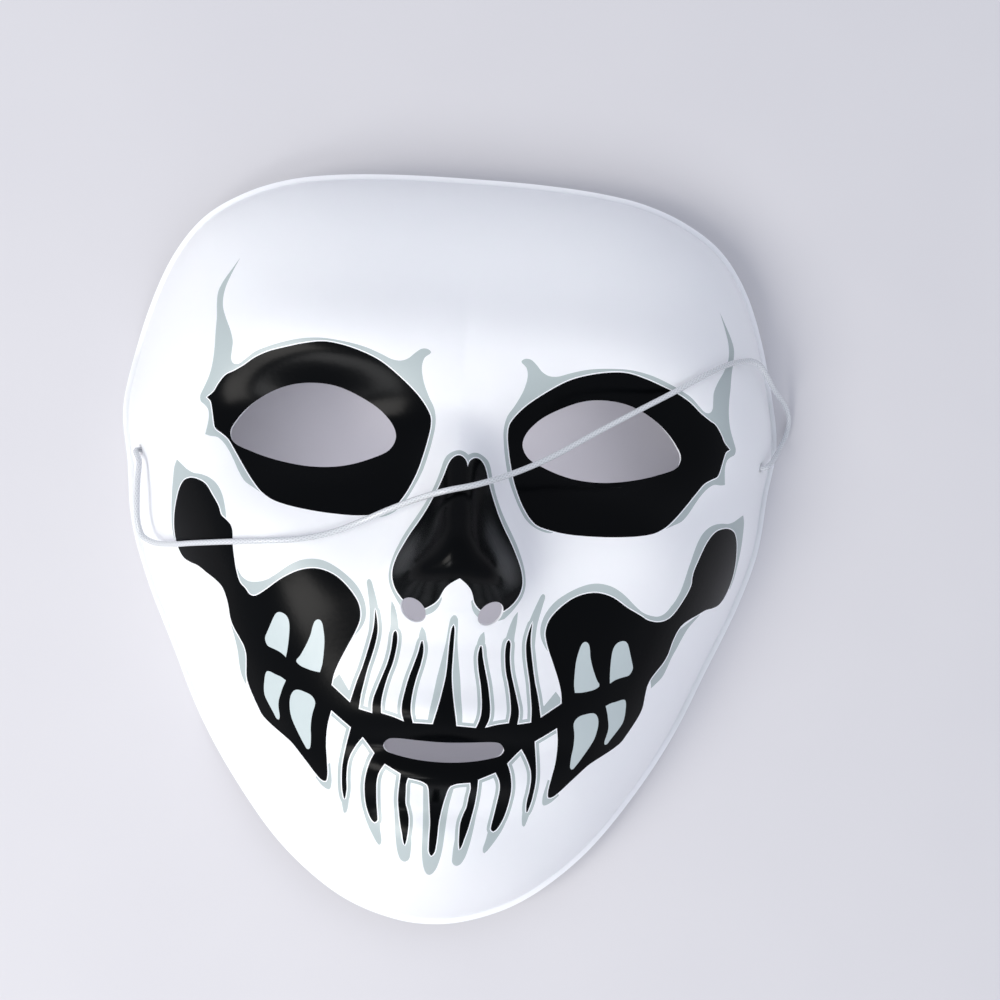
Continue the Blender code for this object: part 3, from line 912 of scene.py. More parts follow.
    teeth_in_cheek: tuple[tuple[Bend, ...], ...] = (
        (Bend(30.9, -23.1), Bend(31.65, -22.6), Bend(32.45, -22.95), Bend(32.95, -24.2),
         Bend(33.25, -26.0), Bend(33.8, -27.8), Bend(34.6, -29.7), Bend(35.5, -31.5),
         Bend(36.35, -32.8), Bend(35.2, -33.8), Bend(33.7, -34.3), Bend(31.9, -34.7),
         Corner(30.2, -34.85), Bend(29.8, -33.0), Bend(29.7, -30.0), Bend(29.8, -27.3),
         Bend(30.2, -25.2)),
        (Bend(39.4, -22.8), Bend(40.3, -22.0), Bend(41.8, -21.7), Bend(42.55, -22.2),
         Bend(43.15, -23.4), Bend(43.75, -25.0), Bend(44.4, -26.7), Bend(44.85, -28.2),
         Bend(44.05, -29.9), Bend(42.75, -30.4), Bend(41.2, -30.9), Bend(40.0, -31.5),
         Corner(39.05, -32.2), Bend(38.85, -30.7), Bend(38.7, -28.3), Bend(38.7, -25.8),
         Bend(38.9, -24.0)),
        (Bend(30.7, -42.2), Bend(31.1, -41.2), Bend(32.0, -40.4), Bend(33.6, -39.85),
         Bend(35.1, -39.55), Bend(36.05, -39.7), Bend(36.8, -40.5), Bend(37.2, -42.0),
         Bend(37.1, -44.0), Bend(36.7, -45.8), Bend(36.0, -47.4), Bend(33.9, -50.9),
         Bend(32.8, -52.5), Bend(31.9, -53.55), Bend(31.35, -53.3), Bend(31.2, -50.5),
         Bend(31.4, -48.5), Bend(31.4, -46.5), Bend(31.2, -44.7)),
        (Corner(38.6, -37.7), Bend(39.95, -37.0), Bend(41.5, -36.55), Bend(42.95, -36.05),
         Bend(43.8, -36.1), Bend(44.2, -37.2), Bend(44.3, -38.7), Bend(44.3, -40.3),
         Bend(44.0, -41.9), Bend(43.25, -43.2), Bend(41.2, -46.1), Bend(40.45, -47.2),
         Bend(39.85, -47.45), Bend(39.6, -46.8), Bend(40.1, -44.1), Bend(40.1, -42.7),
         Bend(39.75, -41.2), Bend(39.35, -39.7)),
    )
    mouth_band: tuple[Bend, ...] = (
        Corner(0.0, -43.0), Corner(2.7, -44.0), Corner(7.25, -44.15), Corner(9.3, -44.0),
        Bend(11.8, -43.2), Corner(14.75, -42.6), Corner(16.8, -42.85), Corner(20.05, -42.25),
        Corner(22.25, -41.0), Corner(27.1, -37.5), Corner(30.0, -38.0), Corner(30.0, -43.0),
        Corner(26.6, -43.35), Corner(21.55, -46.8), Corner(18.6, -48.8), Corner(15.5, -52.3),
        Corner(12.9, -54.4), Corner(8.95, -56.2), Corner(7.2, -57.0), Bend(4.0, -57.5),
        Corner(2.6, -58.2), Corner(0.0, -59.0),
    )
    upper_middle_gap: tuple[Bend, ...] = (
        Bend(0.0, -21.2), Bend(0.3, -21.9), Bend(0.5, -25.0), Bend(0.55, -29.0),
        Bend(0.65, -32.5), Bend(0.95, -35.0), Bend(1.4, -37.7), Bend(1.9, -40.2),
        Bend(2.35, -42.2), Corner(2.7, -44.0), Corner(2.7, -45.0), Corner(0.0, -45.0),
    )
    lower_middle_gap: tuple[Bend, ...] = (
        Corner(0.0, -57.0), Corner(3.2, -57.3), Bend(2.3, -59.0), Bend(1.95, -61.0),
        Bend(1.65, -63.0), Bend(1.3, -65.5), Bend(1.0, -68.0), Bend(0.95, -70.5),
        Bend(0.85, -73.0), Bend(0.65, -74.8), Bend(0.0, -75.8),
    )
    gaps: tuple[tuple[Bend, ...], ...] = (
        (Corner(7.25, -45.0), Corner(7.25, -44.15), Bend(7.9, -42.0), Bend(8.1, -40.0),
         Bend(7.9, -37.0), Bend(7.4, -34.0), Bend(6.7, -31.0), Bend(6.3, -28.0),
         Bend(6.5, -26.2), Bend(6.85, -25.3), Bend(7.15, -26.2), Bend(7.45, -28.0),
         Bend(8.25, -31.0), Bend(9.1, -34.0), Bend(9.7, -37.0), Bend(10.1, -40.0),
         Bend(10.0, -42.0), Corner(9.3, -44.05), Corner(9.3, -45.0)),
        (Corner(14.75, -44.0), Corner(14.75, -42.6), Bend(14.95, -40.0), Bend(14.6, -37.0),
         Bend(13.95, -34.0), Bend(13.1, -31.0), Bend(12.65, -28.0), Bend(12.55, -26.0),
         Bend(12.75, -24.3), Bend(13.15, -23.6), Bend(13.6, -24.2), Bend(13.7, -26.0),
         Bend(13.8, -28.0), Bend(14.3, -31.0), Bend(15.2, -34.0), Bend(16.15, -37.0),
         Bend(16.9, -40.0), Corner(16.8, -42.85), Corner(16.8, -44.0)),
        (Corner(20.05, -43.5), Corner(20.05, -42.25), Bend(19.85, -39.0), Bend(19.4, -36.0),
         Bend(18.9, -33.0), Bend(18.2, -30.0), Bend(17.6, -27.0), Bend(17.35, -24.0),
         Bend(17.7, -21.5), Corner(18.4, -19.0), Bend(18.3, -22.0), Bend(18.4, -24.0),
         Bend(18.9, -27.0), Bend(19.5, -30.0), Bend(20.2, -33.0), Bend(21.1, -36.0),
         Bend(21.8, -39.0), Corner(22.25, -41.0), Corner(22.25, -42.5)),
        (Corner(7.2, -56.0), Corner(7.2, -57.0), Bend(7.5, -58.5), Bend(7.4, -60.5),
         Bend(7.2, -63.8), Bend(6.7, -65.3), Bend(6.1, -67.5), Bend(6.05, -70.5),
         Bend(6.25, -72.8), Bend(6.5, -73.8), Bend(7.0, -72.6), Bend(7.3, -71.3),
         Bend(7.95, -69.0), Bend(8.6, -66.0), Bend(9.0, -63.5), Bend(9.1, -61.0),
         Corner(8.95, -56.2), Corner(9.5, -55.0)),
        (Corner(12.5, -53.0), Corner(12.9, -54.4), Bend(14.0, -56.4), Bend(14.4, -58.5),
         Bend(14.3, -62.0), Bend(14.0, -65.0), Bend(13.6, -67.5), Bend(13.5, -68.7),
         Bend(14.1, -69.25), Bend(14.9, -68.7), Bend(15.9, -67.0), Bend(16.6, -65.0),
         Bend(17.1, -62.0), Bend(17.2, -59.0), Bend(16.9, -56.5), Bend(16.35, -54.3),
         Corner(15.5, -52.3), Corner(15.5, -50.0)),
        (Corner(18.6, -47.5), Corner(18.6, -48.8), Bend(19.6, -50.2), Bend(20.6, -52.0),
         Bend(21.35, -53.8), Bend(21.7, -56.0), Bend(21.7, -59.0), Bend(21.5, -62.0),
         Bend(21.85, -64.65), Bend(22.5, -62.5), Bend(22.85, -59.0), Bend(22.9, -56.0),
         Bend(22.6, -53.0), Bend(22.15, -50.0), Corner(21.55, -46.8), Corner(21.5, -45.5)),
    )
    upper_middle_shade: tuple[Bend, ...] = (
        Bend(0.0, -18.9), Bend(0.75, -19.6), Bend(1.05, -21.5), Bend(1.3, -25.0),
        Bend(1.9, -29.0), Bend(2.6, -33.0), Bend(3.2, -37.5), Bend(3.8, -41.5),
        Corner(4.0, -44.0), Corner(0.0, -44.0),
    )
    lower_middle_shade: tuple[Bend, ...] = (
        Corner(0.0, -59.0), Corner(3.6, -58.0), Bend(3.2, -62.0), Bend(2.85, -66.0),
        Bend(2.6, -70.0), Bend(2.4, -74.0), Bend(2.0, -77.0), Bend(1.4, -79.5), Bend(0.6, -81.0),
        Bend(0.0, -81.3),
    )
    gap_shades: tuple[tuple[Bend, ...], ...] = (
        (Corner(7.2, -22.2), Bend(6.4, -23.1), Bend(5.85, -25.0), Corner(5.7, -27.5),
         Corner(8.2, -28.0), Bend(7.75, -25.5), Bend(7.55, -23.5)),
        (Corner(14.7, -16.9), Bend(13.9, -18.1), Bend(13.2, -20.0), Bend(12.6, -22.5),
         Corner(12.0, -26.0), Corner(14.6, -26.0), Bend(14.45, -23.0), Bend(14.7, -19.5)),
        (Bend(20.55, -12.2), Bend(20.0, -12.6), Bend(19.3, -14.2), Bend(18.5, -16.3),
         Bend(17.7, -18.7), Bend(16.95, -21.3), Bend(16.5, -24.0), Corner(16.6, -27.0),
         Corner(19.6, -27.0), Bend(19.45, -24.0), Bend(19.6, -19.8), Bend(20.05, -17.3),
         Bend(20.6, -14.7), Bend(20.95, -12.8)),
        (Corner(6.3, -64.5), Bend(5.5, -69.0), Bend(5.05, -72.0), Bend(4.95, -75.0),
         Bend(5.2, -77.4), Bend(6.1, -78.2), Bend(7.0, -77.9), Bend(7.9, -76.2),
         Bend(8.6, -73.3), Bend(9.2, -69.5), Corner(9.9, -64.0)),
        (Corner(13.4, -63.5), Bend(13.0, -68.0), Bend(12.6, -71.0), Bend(12.1, -73.8),
         Bend(12.5, -74.8), Bend(13.1, -74.3), Bend(14.1, -72.8), Bend(15.4, -70.6),
         Bend(16.6, -68.1), Corner(17.8, -64.0)),
        (Corner(21.0, -60.5), Bend(20.8, -64.0), Bend(20.9, -66.5), Bend(21.3, -68.0),
         Bend(21.7, -68.1), Bend(22.2, -66.7), Bend(22.7, -64.3), Corner(23.3, -60.5)),
        (Corner(25.9, -56.0), Bend(25.3, -61.0), Bend(25.8, -62.7), Bend(27.3, -62.2),
         Corner(29.4, -60.2), Corner(28.0, -57.0)),
    )

    def laid(self, points: np.ndarray, side: float) -> np.ndarray:
        """Lay flat print points on the mould.

        Args:
            points: The points, X outwards from the print's middle line.
            side: Minus one for the left side, one for the right.

        Returns:
            The points on the rim's plane.
        """
        drift = self.shift + self.edge_drift * (points[:, 0] / self.drift_reach) ** 2
        x, y = side * points[:, 0] + drift, points[:, 1]
        turn = math.radians(self.turn_deg)
        return np.column_stack([
            x * math.cos(turn) - y * math.sin(turn), x * math.sin(turn) + y * math.cos(turn)])

    def on_side(self, points: Sequence[Bend], side: float) -> np.ndarray:
        """Return the outline of a shape that lies on one side."""
        return self.laid(closed_outline(points, self.spacing), side)

    def across_middle(self, half: Sequence[Bend]) -> np.ndarray:
        """Draw a shape that crosses the middle line.

        Args:
            half: Its right half, from end to end.

        Returns:
            The whole outline on the rim's plane.
        """
        ends = {half[0], half[-1]}
        other = [type(p)(-p.x, p.y) for p in reversed(half) if p not in ends]
        points = closed_outline(list(half) + other, self.spacing)
        return self.laid(points, 1.0)

    def black(self) -> list[np.ndarray]:
        """Draw the black shapes.

        Returns:
            Their outlines on the rim's plane.
        """
        shapes = [self.across_middle(half) for half in
                  (self.nose, self.mouth_band, self.upper_middle_gap, self.lower_middle_gap)]
        necks = {-1.0: self.cheek_neck_left, 1.0: self.cheek_neck_right}
        for side in SIDES:
            cheek = self.cheek_dome + necks[side] + self.cheek_outside
            shapes += [self.on_side(points, side) for points in (self.socket, cheek, *self.gaps)]
        return shapes

    def shaded_black(self) -> list[np.ndarray]:
        """Draw the black shapes that have an even grey border.

        Returns:
            Their outlines on the rim's plane.
        """
        shapes = [self.across_middle(self.mouth_band)]
        for side in SIDES:
            shapes += [self.on_side(points, side) for points in self.gaps]
        return shapes

    def grey(self) -> list[np.ndarray]:
        """Draw the grey shades.

        Returns:
            Their outlines on the rim's plane.
        """
        shapes = [self.across_middle(half) for half in
                  (self.nose_shade, self.upper_middle_shade, self.lower_middle_shade)]
        own = {-1.0: (self.jaw_shade_left,), 1.0: (self.neck_shade_right, self.jaw_shade_right)}
        for side in SIDES:
            shades = (self.socket_shade, self.cheek_shade, self.temple_shade, self.tooth_patch,
                      *self.gap_shades, *own[side])
            shapes += [self.on_side(points, side) for points in shades]
        return shapes

    def pale_teeth(self) -> list[np.ndarray]:
        """Return the outlines of the pale teeth that lie in the black cheeks."""
        return [self.on_side(points, side) for side in SIDES for points in self.teeth_in_cheek]

    def edges(self) -> list[np.ndarray]:
        """Collect every line that the mesh has to follow.

        Returns:
            The outlines and the borders round them.
        """
        black, teeth = self.black(), self.pale_teeth()
        lines = black + teeth + self.grey()
        lines += [grown(outline, self.bare_line) for outline in black]
        lines += [grown(outline, self.tooth_shade) for outline in self.shaded_black()]
        return lines

    def inks(self, places: np.ndarray) -> np.ndarray:
        """Tell what covers each place on the mould.

        Args:
            places: Places on the rim's plane.

        Returns:
            The value of the Ink at each place.
        """
        dark, tooth, shade = (
            np.any([is_inside(outline, places) for outline in shapes], axis=0)
            for shapes in (self.black(), self.pale_teeth(), self.grey()))
        shade |= nearer_than(self.shaded_black(), places, self.tooth_shade)
        bare = nearer_than(self.black(), places, self.bare_line)
        result = np.full(len(places), Ink.BARE.value)
        result[shade & ~bare] = Ink.GREY.value
        result[dark] = Ink.BLACK.value
        result[tooth] = Ink.PALE.value
        return result


@dataclass
class PlanMesh:
    """A flat triangle mesh that follows given closed lines, in millimetres."""

    points: list[Vector] = field(default_factory=list)
    edges: list[tuple[int, int]] = field(default_factory=list)

    def add_ring(self, outline: np.ndarray) -> None:
        """Add a closed line that the triangles follow.

        Args:
            outline: The line's points.
        """
        first, count = len(self.points), len(outline)
        self.points += [Vector(point) for point in outline]
        self.edges += [(first + i, first + (i + 1) % count) for i in range(count)]

    def add_edges(self, points: np.ndarray, edges: np.ndarray) -> None:
        """Add lines that the triangles follow.

        Args:
            points: The lines' points.
            edges: The numbers of each line's two points.
        """
        first = len(self.points)
        self.points += [Vector(point) for point in points]
        self.edges += [(int(a) + first, int(b) + first) for a, b in edges]

    def fill(self, places: np.ndarray, clearance: float) -> None:
        """Add loose points that keep clear of the ones already there.

        Args:
            places: Where the points may go.
            clearance: The least distance to an earlier point.
        """
        tree = point_tree(np.array([point[:] for point in self.points]))
        self.points += [
            Vector(place) for place in places if tree.find((*place, 0.0))[2] > clearance]

    def triangles(self) -> tuple[np.ndarray, np.ndarray]:
        """Join the points into triangles.

        Returns:
            The points, and the numbers of each triangle's three.
        """
        points, _, faces, *_ = delaunay_2d_cdt(
            self.points, self.edges, [], 0, SAME_POINT_MM, False)
        return np.array([point[:] for point in points]), np.array([list(face) for face in faces])


def open_edges(triangles: np.ndarray) -> np.ndarray:
    """Find the edges that only one triangle has.

    Args:
        triangles: The numbers of each triangle's points.

    Returns:
        The numbers of each such edge's points, in its triangle's order.
    """
    pairs = np.vstack([triangles[:, [0, 1]], triangles[:, [1, 2]], triangles[:, [2, 0]]])
    keys = np.sort(pairs, axis=1)
    _, place, counts = np.unique(keys, axis=0, return_index=True, return_counts=True)
    return pairs[place[counts == 1]]


@dataclass
class MaskShell:
    """The moulded face: printed front, plain back, lip and cut edges, as one thin sheet.

    The edges of the print and of the openings are edges of its mesh, so that they stay sharp. No
    operator cuts such lines without a window, so the sheet is drawn flat in code and then lifted.
    Its steps and gaps are in millimetres.
    """

    face: Face
    openings: Openings
    figure: SkullFigure
    front_step: float = 1.3
    back_step: float = 2.6
    rim_step: float = 1.4
    front_ring_gap: float = 0.20
    back_ring_gap: float = 0.35
    grid_gap_share: float = 1 / 3
    near_rim: tuple[float, ...] = (8.0, 6.2, 4.8, 3.6, 2.7, 2.0, 1.4, 1.0, 0.65, 0.35)
    lip_steps: tuple[float, ...] = (0.18, 0.05, -0.1, -0.3, -0.6, -1.8)
    name: str = "skull_mask"

    def rim_ring(self, inset: float) -> np.ndarray:
        """Draw a ring along the rim.

        Args:
            inset: Its distance inside the lip's bend, or outside where negative, in millimetres.

        Returns:
            The ring's points.
        """
        angles, radii = self.face.rim_line()
        line = np.column_stack([np.cos(angles) * radii, np.sin(angles) * radii]) / MM
        even = respace(np.vstack([line, line[:1]]), self.rim_step)[:-1]
        angle = np.arctan2(even[:, 1], even[:, 0])
        radius = self.face.reach(angle) / MM - self.face.lip / MM - inset
        return np.column_stack([np.cos(angle) * radius, np.sin(angle) * radius])

    def grid(self, step: float) -> np.ndarray:
        """Spread staggered places over the face, inside the rings near the rim.

        Args:
            step: Distance between places, in millimetres.

        Returns:
            The places.
        """
        half_width, half_height = self.face.width / 2 / MM, self.face.tall / 2 / MM
        rows = np.arange(-half_height, half_height, step * math.sqrt(3) / 2)
        places = np.array([
            (x + (i % 2) * step / 2, y) for i, y in enumerate(rows)
            for x in np.arange(-half_width, half_width, step)])
        x, y = places.T
        edge = (self.face.reach(np.arctan2(y, x)) - self.face.lip) / MM - self.near_rim[0]
        return places[np.hypot(x, y) < edge - step / 2]

    def kept(self, points: np.ndarray, triangles: np.ndarray) -> np.ndarray:
        """Drop the triangles that lie past the rim or over an opening.

        Args:
            points: The flat points.
            triangles: The numbers of each triangle's points.

        Returns:
            The triangles of the sheet.
        """
        centres = points[triangles].mean(axis=1)
        x, y = centres.T
        keep = np.hypot(x, y) < self.face.reach(np.arctan2(y, x)) / MM
        for outline in self.openings.outlines(self.figure.spacing):
            keep &= ~is_inside(outline, centres)
        return triangles[keep]

    def front_plan(self) -> tuple[np.ndarray, np.ndarray]:
        """Draw the front flat, along the print, the openings and the rim.

        Returns:
            Its points and its triangles.
        """
        plan = PlanMesh()
        for inset in self.lip_steps:
            plan.add_ring(self.rim_ring(inset))
        for outline in self.openings.outlines(self.figure.spacing) + self.figure.edges():
            plan.add_ring(outline)
        for inset in self.near_rim:
            plan.fill(self.rim_ring(inset), self.front_ring_gap)
        plan.fill(self.grid(self.front_step), self.front_step * self.grid_gap_share)
        points, triangles = plan.triangles()
        return points, self.kept(points, triangles)

    def back_plan(self, points: np.ndarray, border: np.ndarray) -> tuple[np.ndarray, np.ndarray]:
        """Draw the back flat, coarser than the front but with the same border.

        Args:
            points: The front's points.
            border: The front's open edges.

        Returns:
            Its points and its triangles.
        """
        used, pairs = np.unique(border, return_inverse=True)
        plan = PlanMesh()
        plan.add_edges(points[used], pairs.reshape(-1, 2))
        for inset in self.lip_steps[1:-1]:
            plan.add_ring(self.rim_ring(inset))
        for inset in self.near_rim:
            plan.fill(self.rim_ring(inset), self.back_ring_gap)
        plan.fill(self.grid(self.back_step), self.back_step * self.grid_gap_share)
        found, triangles = plan.triangles()
        return found, self.kept(found, triangles)

    def lifted(self, points: np.ndarray, depth: float) -> tuple[np.ndarray, np.ndarray]:
        """Lift flat points to the sheet.

        Args:
            points: The flat points, in millimetres.
            depth: How far they lie behind the front, in metres.

        Returns:
            Their places, in metres, and the outward directions there.
        """
        x, y = points[:, 0] * MM, points[:, 1] * MM
        outward = self.face.normals(x, y)
        return np.column_stack([x, y, self.face.height(x, y)]) - outward * depth, outward

    def build(self) -> bpy.types.Object:
        """Make the sheet as one closed mesh.

        Returns:
            The sheet's object.
        """
        points, front = self.front_plan()
        border = open_edges(front)
        back_points, back = self.back_plan(points, border)
        tree = point_tree(back_points)
        match = {int(i): tree.find((*points[i], 0.0))[1] + len(points) for i in np.unique(border)}
        walls = [(int(b), int(a), match[int(a)], match[int(b)]) for a, b in border]
        top, top_out = self.lifted(points, 0.0)
        under, under_out = self.lifted(back_points, self.face.wall)
        mesh = bpy.data.meshes.new(self.name)
        corners = front.tolist() + (back[:, ::-1] + len(points)).tolist() + walls
        mesh.from_pydata(np.vstack([top, under]).tolist(), [], corners)
        inks = np.zeros(len(corners), np.int32)
        inks[:len(front)] = self.figure.inks(points[front].mean(axis=1))
        mesh.polygons.foreach_set("material_index", inks)
        mesh.shade_smooth()
        self.set_normals(mesh, len(front), len(back), np.vstack([top_out, -under_out]))
        shell = bpy.data.objects.new(self.name, mesh)
        bpy.context.collection.objects.link(shell)
        return shell

    def set_normals(
        self, mesh: bpy.types.Mesh, fronts: int, backs: int, outward: np.ndarray
    ) -> None:
        """Give both faces of the sheet the mould's own normals, and the cut edges flat ones.

        Args:
            mesh: The sheet's mesh: triangles of the front, then of the back, then four-sided edges.
            fronts: How many triangles the front has.
            backs: How many triangles the back has.
            outward: The normal at each point of the mesh.
        """
        corners = np.empty(len(mesh.loops), np.int32)
        mesh.loops.foreach_get("vertex_index", corners)
        normals = outward[corners]
        first = 3 * (fronts + backs)
        flat = np.array([polygon.normal[:] for polygon in mesh.polygons[fronts + backs:]])
        normals[first:] = np.repeat(flat, 4, axis=0)
        mesh.normals_split_custom_set(normals.tolist())

    def dress(self, shell: bpy.types.Object) -> None:
        """Give the sheet its vinyl and its inks, each at its ink's place."""
        for ink in sorted(Ink, key=lambda ink: ink.value):
            shell.data.materials.append(INK_FINISHES[ink].material())


def round_tube(name: str, line: np.ndarray, radius: float, sides: int) -> bpy.types.Object:
    """Make a closed round tube along a line, with a UV map whose V is the way along it in metres.

    Args:
        name: The object's name.
        line: The centre line's points.
        radius: The tube's radius.
        sides: How many sides the tube has.

    Returns:
        The tube's object, smooth, its place in its mesh.
    """
    ahead = np.gradient(line, axis=0)
    ahead /= np.linalg.norm(ahead, axis=1)[:, None]
    side = np.cross(ahead[0], (0.0, 0.0, 1.0))
    rings = []
    turn = np.linspace(0, 2 * math.pi, sides, endpoint=False)
    for point, way in zip(line, ahead):
        side = side - way * (side @ way)
        side /= np.linalg.norm(side)
        other = np.cross(way, side)
        spokes = np.cos(turn)[:, None] * side + np.sin(turn)[:, None] * other
        rings.append(point + radius * spokes)
    quads = [
        (first + j, first + (j + 1) % sides, first + sides + (j + 1) % sides, first + sides + j)
        for first in range(0, (len(line) - 1) * sides, sides) for j in range(sides)
    ]
    last = (len(line) - 1) * sides
    caps = [tuple(range(sides))[::-1], tuple(range(last, last + sides))]
    mesh = bpy.data.meshes.new(name)
    mesh.from_pydata(np.vstack(rings).tolist(), [], quads + caps)
    along = np.concatenate([[0.0], np.cumsum(np.linalg.norm(np.diff(line, axis=0), axis=1))])
    spread = [
        (u, along[i + v]) for i in range(len(line) - 1) for j in range(sides)
        for u, v in ((j / sides, 0), ((j + 1) / sides, 0), ((j + 1) / sides, 1), (j / sides, 1))
    ]
    spread += [(0.0, 0.0)] * (2 * sides)
    layer = mesh.uv_layers.new(name="along")
    layer.data.foreach_set("uv", np.array(spread, np.float32).ravel())
    mesh.shade_smooth()
    mesh.set_sharp_from_angle(angle=math.radians(CAP_EDGE_DEG))
    tube = bpy.data.objects.new(name, mesh)
    bpy.context.collection.objects.link(tube)
    return tube


@dataclass
class Elastic:
    """The round elastic: out of the left hole, over the face and in at the right hole.

    Its route is the solid elastic's, in metres.
    """

    face: Face
    openings: Openings
    diameter: float = 0.0014
    stands_off_hole: float = 0.0010
    sides: int = 18
    spacing: float = 0.0009
    name: str = "elastic"
    route: tuple[tuple[float, float, float], ...] = (
        (-0.0822, 0.0167, 0.0193),
        (-0.0819, 0.0119, 0.0207),
        (-0.0814, 0.0066, 0.0219),
        (-0.0809, 0.0014, 0.0218),
        (-0.0796, -0.0023, 0.0216),
        (-0.0763, -0.0041, 0.0243),
        (-0.0703, -0.0048, 0.0313),
        (-0.0626, -0.0046, 0.0396),
        (-0.0543, -0.0043, 0.0466),
        (-0.0455, -0.0039, 0.0513),
        (-0.0373, -0.0032, 0.0531),
        (-0.0292, -0.0013, 0.0536),
        (-0.0224, 0.0015, 0.0552),
        (-0.0155, 0.0046, 0.0584),
        (-0.0087, 0.0071, 0.0631),
        (-0.0028, 0.0087, 0.0673),
        (0.0035, 0.0104, 0.0664),
        (0.0116, 0.0138, 0.0616),
        (0.0212, 0.0189, 0.0564),
        (0.0335, 0.0269, 0.0512),
        (0.0436, 0.0332, 0.0480),
        (0.0530, 0.0390, 0.0444),
        (0.0611, 0.0443, 0.0405),
        (0.0684, 0.0488, 0.0345),
        (0.0745, 0.0516, 0.0279),
        (0.0776, 0.0525, 0.0248),
        (0.0808, 0.0520, 0.0218),
        (0.0839, 0.0500, 0.0178),
        (0.0884, 0.0472, 0.0110),
        (0.0930, 0.0447, 0.0050),
        (0.0951, 0.0416, 0.0019),
        (0.0947, 0.0376, 0.0015),
        (0.0920, 0.0330, 0.0045),
        (0.0883, 0.0285, 0.0112),
    )

    def line(self) -> np.ndarray:
        """Draw the elastic's centre line.

        Returns:
            Its points, from behind the left hole to behind the right one.
        """
        left, left_out = self.face.hole_frame(*self.openings.cord_places[0])
        right, right_out = self.face.hole_frame(*self.openings.cord_places[1])
        leave = [left - left_out * self.face.wall, left + left_out * self.stands_off_hole]
        enter = [right + right_out * self.stands_off_hole, right - right_out * self.face.wall]
        whole = [tuple(p) for p in leave] + list(self.route) + [tuple(p) for p in enter]
        return respace(smooth_curve(whole, False, FINE_CURVE_STEPS), self.spacing)

    def build(self) -> bpy.types.Object:
        """Returns:
            The tube's object.
        """
        line = self.line()
        tube = round_tube(self.name, line, self.diameter / 2, self.sides)
        return tube


@dataclass
class Knot:
    """A tight overhand knot in the elastic's end, against the back of its hole."""

    face: Face
    place: tuple[float, float]
    side_name: str
    width: float = 0.0046
    thickness: float = 0.0040
    seat_gap: float = 0.0004
    strand: float = 0.0017
    turns: int = 2
    crossings: int = 3
    loop_points: int = 96
    strand_sides: int = 14

    def build(self) -> bpy.types.Object:
        """Make the knot as a strand that winds twice round and crosses itself three times.

        Returns:
            The knot's object.
        """
        point, outward = self.face.hole_frame(*self.place)
        turn = np.linspace(0, 2 * math.pi, self.loop_points, endpoint=False)
        swell = self.turns + np.cos(self.crossings * turn)
        flat_scale = (self.width - self.strand) / 2 / (self.turns + 1)
        deep_scale = (self.thickness - self.strand) / 2
        winding = np.column_stack([
            swell * np.cos(self.turns * turn) * flat_scale,
            swell * np.sin(self.turns * turn) * flat_scale,
            np.sin(self.crossings * turn) * deep_scale])
        centre = point - outward * (self.face.wall + self.seat_gap + self.thickness / 2)
        frame_turn = np.array(outward.to_track_quat("Z", "Y").to_matrix())
        line = winding @ frame_turn.T + np.array(centre)
        return round_tube(f"{self.side_name}_knot", np.vstack([line, line[:1]]), self.strand / 2,
                          self.strand_sides)


@dataclass(frozen=True)
class View:
    """The photograph's view of the mask: turns in degrees, distances in metres."""

    tip_deg: float = -5.68
    swing_deg: float = 3.70
    roll_deg: float = -2.82
    aside: float = 0.0142
    above: float = 0.0131
    away: float = 0.3353
    lens_mm: float = 43.2
    sensor_mm: float = 36.0

    def build(self) -> None:
        """Make the camera."""
        turn = (
            Matrix.Rotation(math.radians(-self.swing_deg), 4, "Y")
            @ Matrix.Rotation(math.radians(-self.tip_deg), 4, "X")
            @ Matrix.Rotation(math.radians(-self.roll_deg), 4, "Z")
        )
        lens = bpy.data.cameras.new("camera")
        lens.lens, lens.sensor_width = self.lens_mm, self.sensor_mm
        lens.clip_start, lens.clip_end = 0.01, 10.0
        camera = bpy.data.objects.new("camera", lens)
        camera.matrix_world = turn @ Matrix.Translation((self.aside, self.above, self.away))
        bpy.context.collection.objects.link(camera)
        bpy.context.scene.camera = camera


class Lamp(NamedTuple):
    """A soft box: its place and size in metres, its power in watts and its colour."""

    name: str
    x: float
    y: float
    z: float
    width: float
    power: float
    tint: str


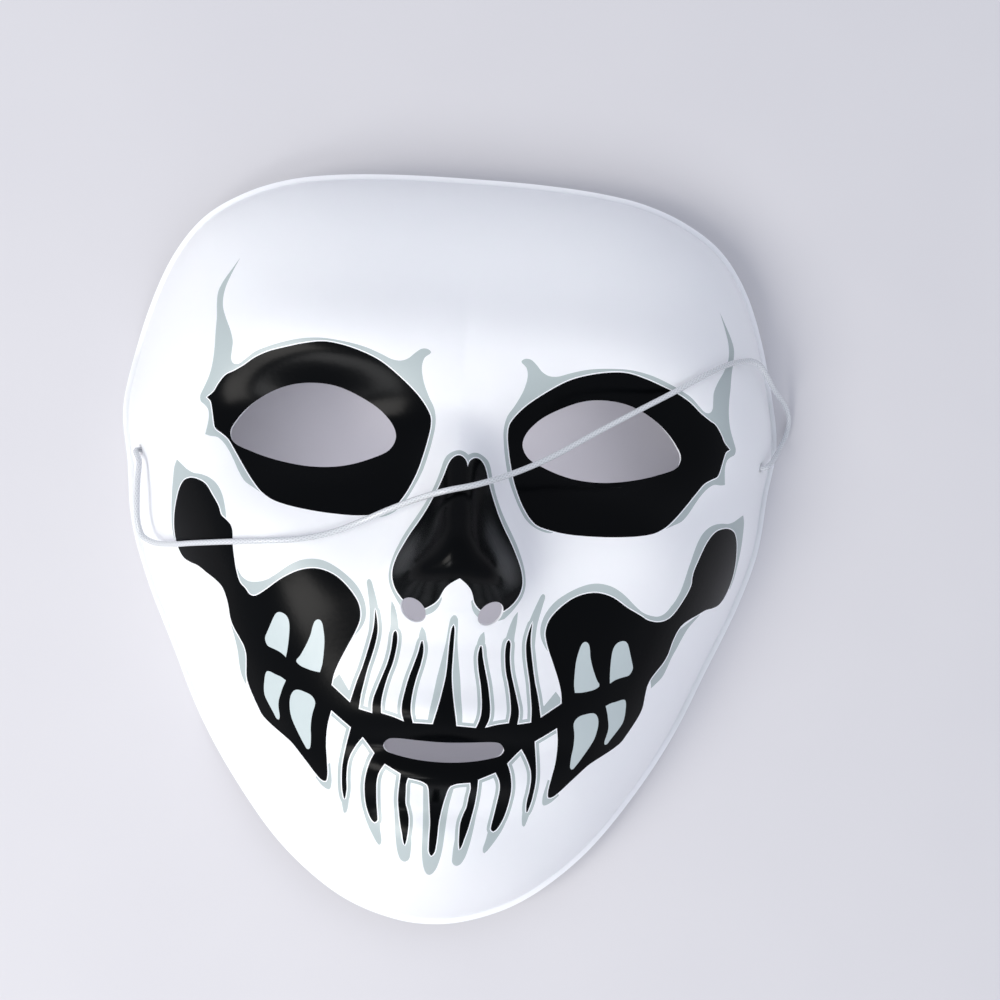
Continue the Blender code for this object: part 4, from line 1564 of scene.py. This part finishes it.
@dataclass(frozen=True)
class Studio:
    """Pale paper and soft boxes."""

    half_floor: float = 4.0
    sky: str = "E4E8F6"
    sky_strength: float = 0.90
    lamps: tuple[Lamp, ...] = (
        Lamp("key_left", -0.82, -0.40, 0.92, 0.50, 9.3, "FFFBF6"),
        Lamp("low_front", -0.45, -0.78, 0.82, 0.30, 3.0, "FFFFFF"),
        Lamp("through_sheet", 0.0, 0.005, 0.03, 0.09, 0.02, "F6F4FF"),
    )

    def build(self) -> None:
        """Make the floor, the lamps and the room's own light."""
        self.lay_floor()
        for lamp in self.lamps:
            self.hang(lamp)
        self.light_room()
        bpy.context.scene.view_settings.view_transform = "Standard"

    def lay_floor(self) -> None:
        """Lay the paper that the mask lies on."""
        bpy.ops.object.select_all(action="DESELECT")
        bpy.ops.mesh.primitive_plane_add(size=2 * self.half_floor, location=(0, 0, 0))
        floor = bpy.context.object
        floor.name = "floor"
        floor.data.materials.append(PaperFinish().material())

    def hang(self, lamp: Lamp) -> None:
        """Hang a lamp that faces the middle of the rim, unseen by the camera.

        Args:
            lamp: The lamp.
        """
        light = bpy.data.lights.new(lamp.name, "AREA")
        light.size = lamp.width
        light.energy = lamp.power
        light.color = linear_colour(lamp.tint)[:3]
        box = bpy.data.objects.new(lamp.name, light)
        box.location = (lamp.x, lamp.y, lamp.z)
        box.rotation_euler = (-box.location).to_track_quat("-Z", "Y").to_euler()
        box.visible_camera = False
        bpy.context.collection.objects.link(box)

    def light_room(self) -> None:
        """Give the room a pale light from all sides."""
        world = bpy.context.scene.world or bpy.data.worlds.new("room")
        bpy.context.scene.world = world
        world.use_nodes = True
        backdrop = world.node_tree.nodes["Background"]
        backdrop.inputs["Color"].default_value = linear_colour(self.sky)
        backdrop.inputs["Strength"].default_value = self.sky_strength


def place_piece(piece: bpy.types.Object, node: str) -> None:
    """Put a finished piece in the place of its CAD node.

    Args:
        piece: The finished piece.
        node: The CAD node that it stands for.
    """
    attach(piece, "root")
    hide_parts(node)
    log.info("%s: %d triangles", piece.name, sum(len(p.vertices) - 2 for p in piece.data.polygons))


def main() -> None:
    """Build the view, the elastic with its knots, the shell and the studio."""
    logging.basicConfig(level=logging.INFO, format="%(message)s")
    View().build()
    face = Face()
    openings = Openings(face)
    elastic_material = ElasticFinish().material()
    for place, side_name in zip(openings.cord_places, ("left", "right")):
        knot = Knot(face, place, side_name).build()
        knot.data.materials.append(elastic_material)
        place_piece(knot, f"knot_{side_name}")
    elastic = Elastic(face, openings).build()
    elastic.data.materials.append(elastic_material)
    place_piece(elastic, "elastic_cord")
    sheet = MaskShell(face, openings, SkullFigure())
    shell = sheet.build()
    sheet.dress(shell)
    place_piece(shell, "mask_shell")
    Studio().build()


if __name__ == "__main__":
    main()
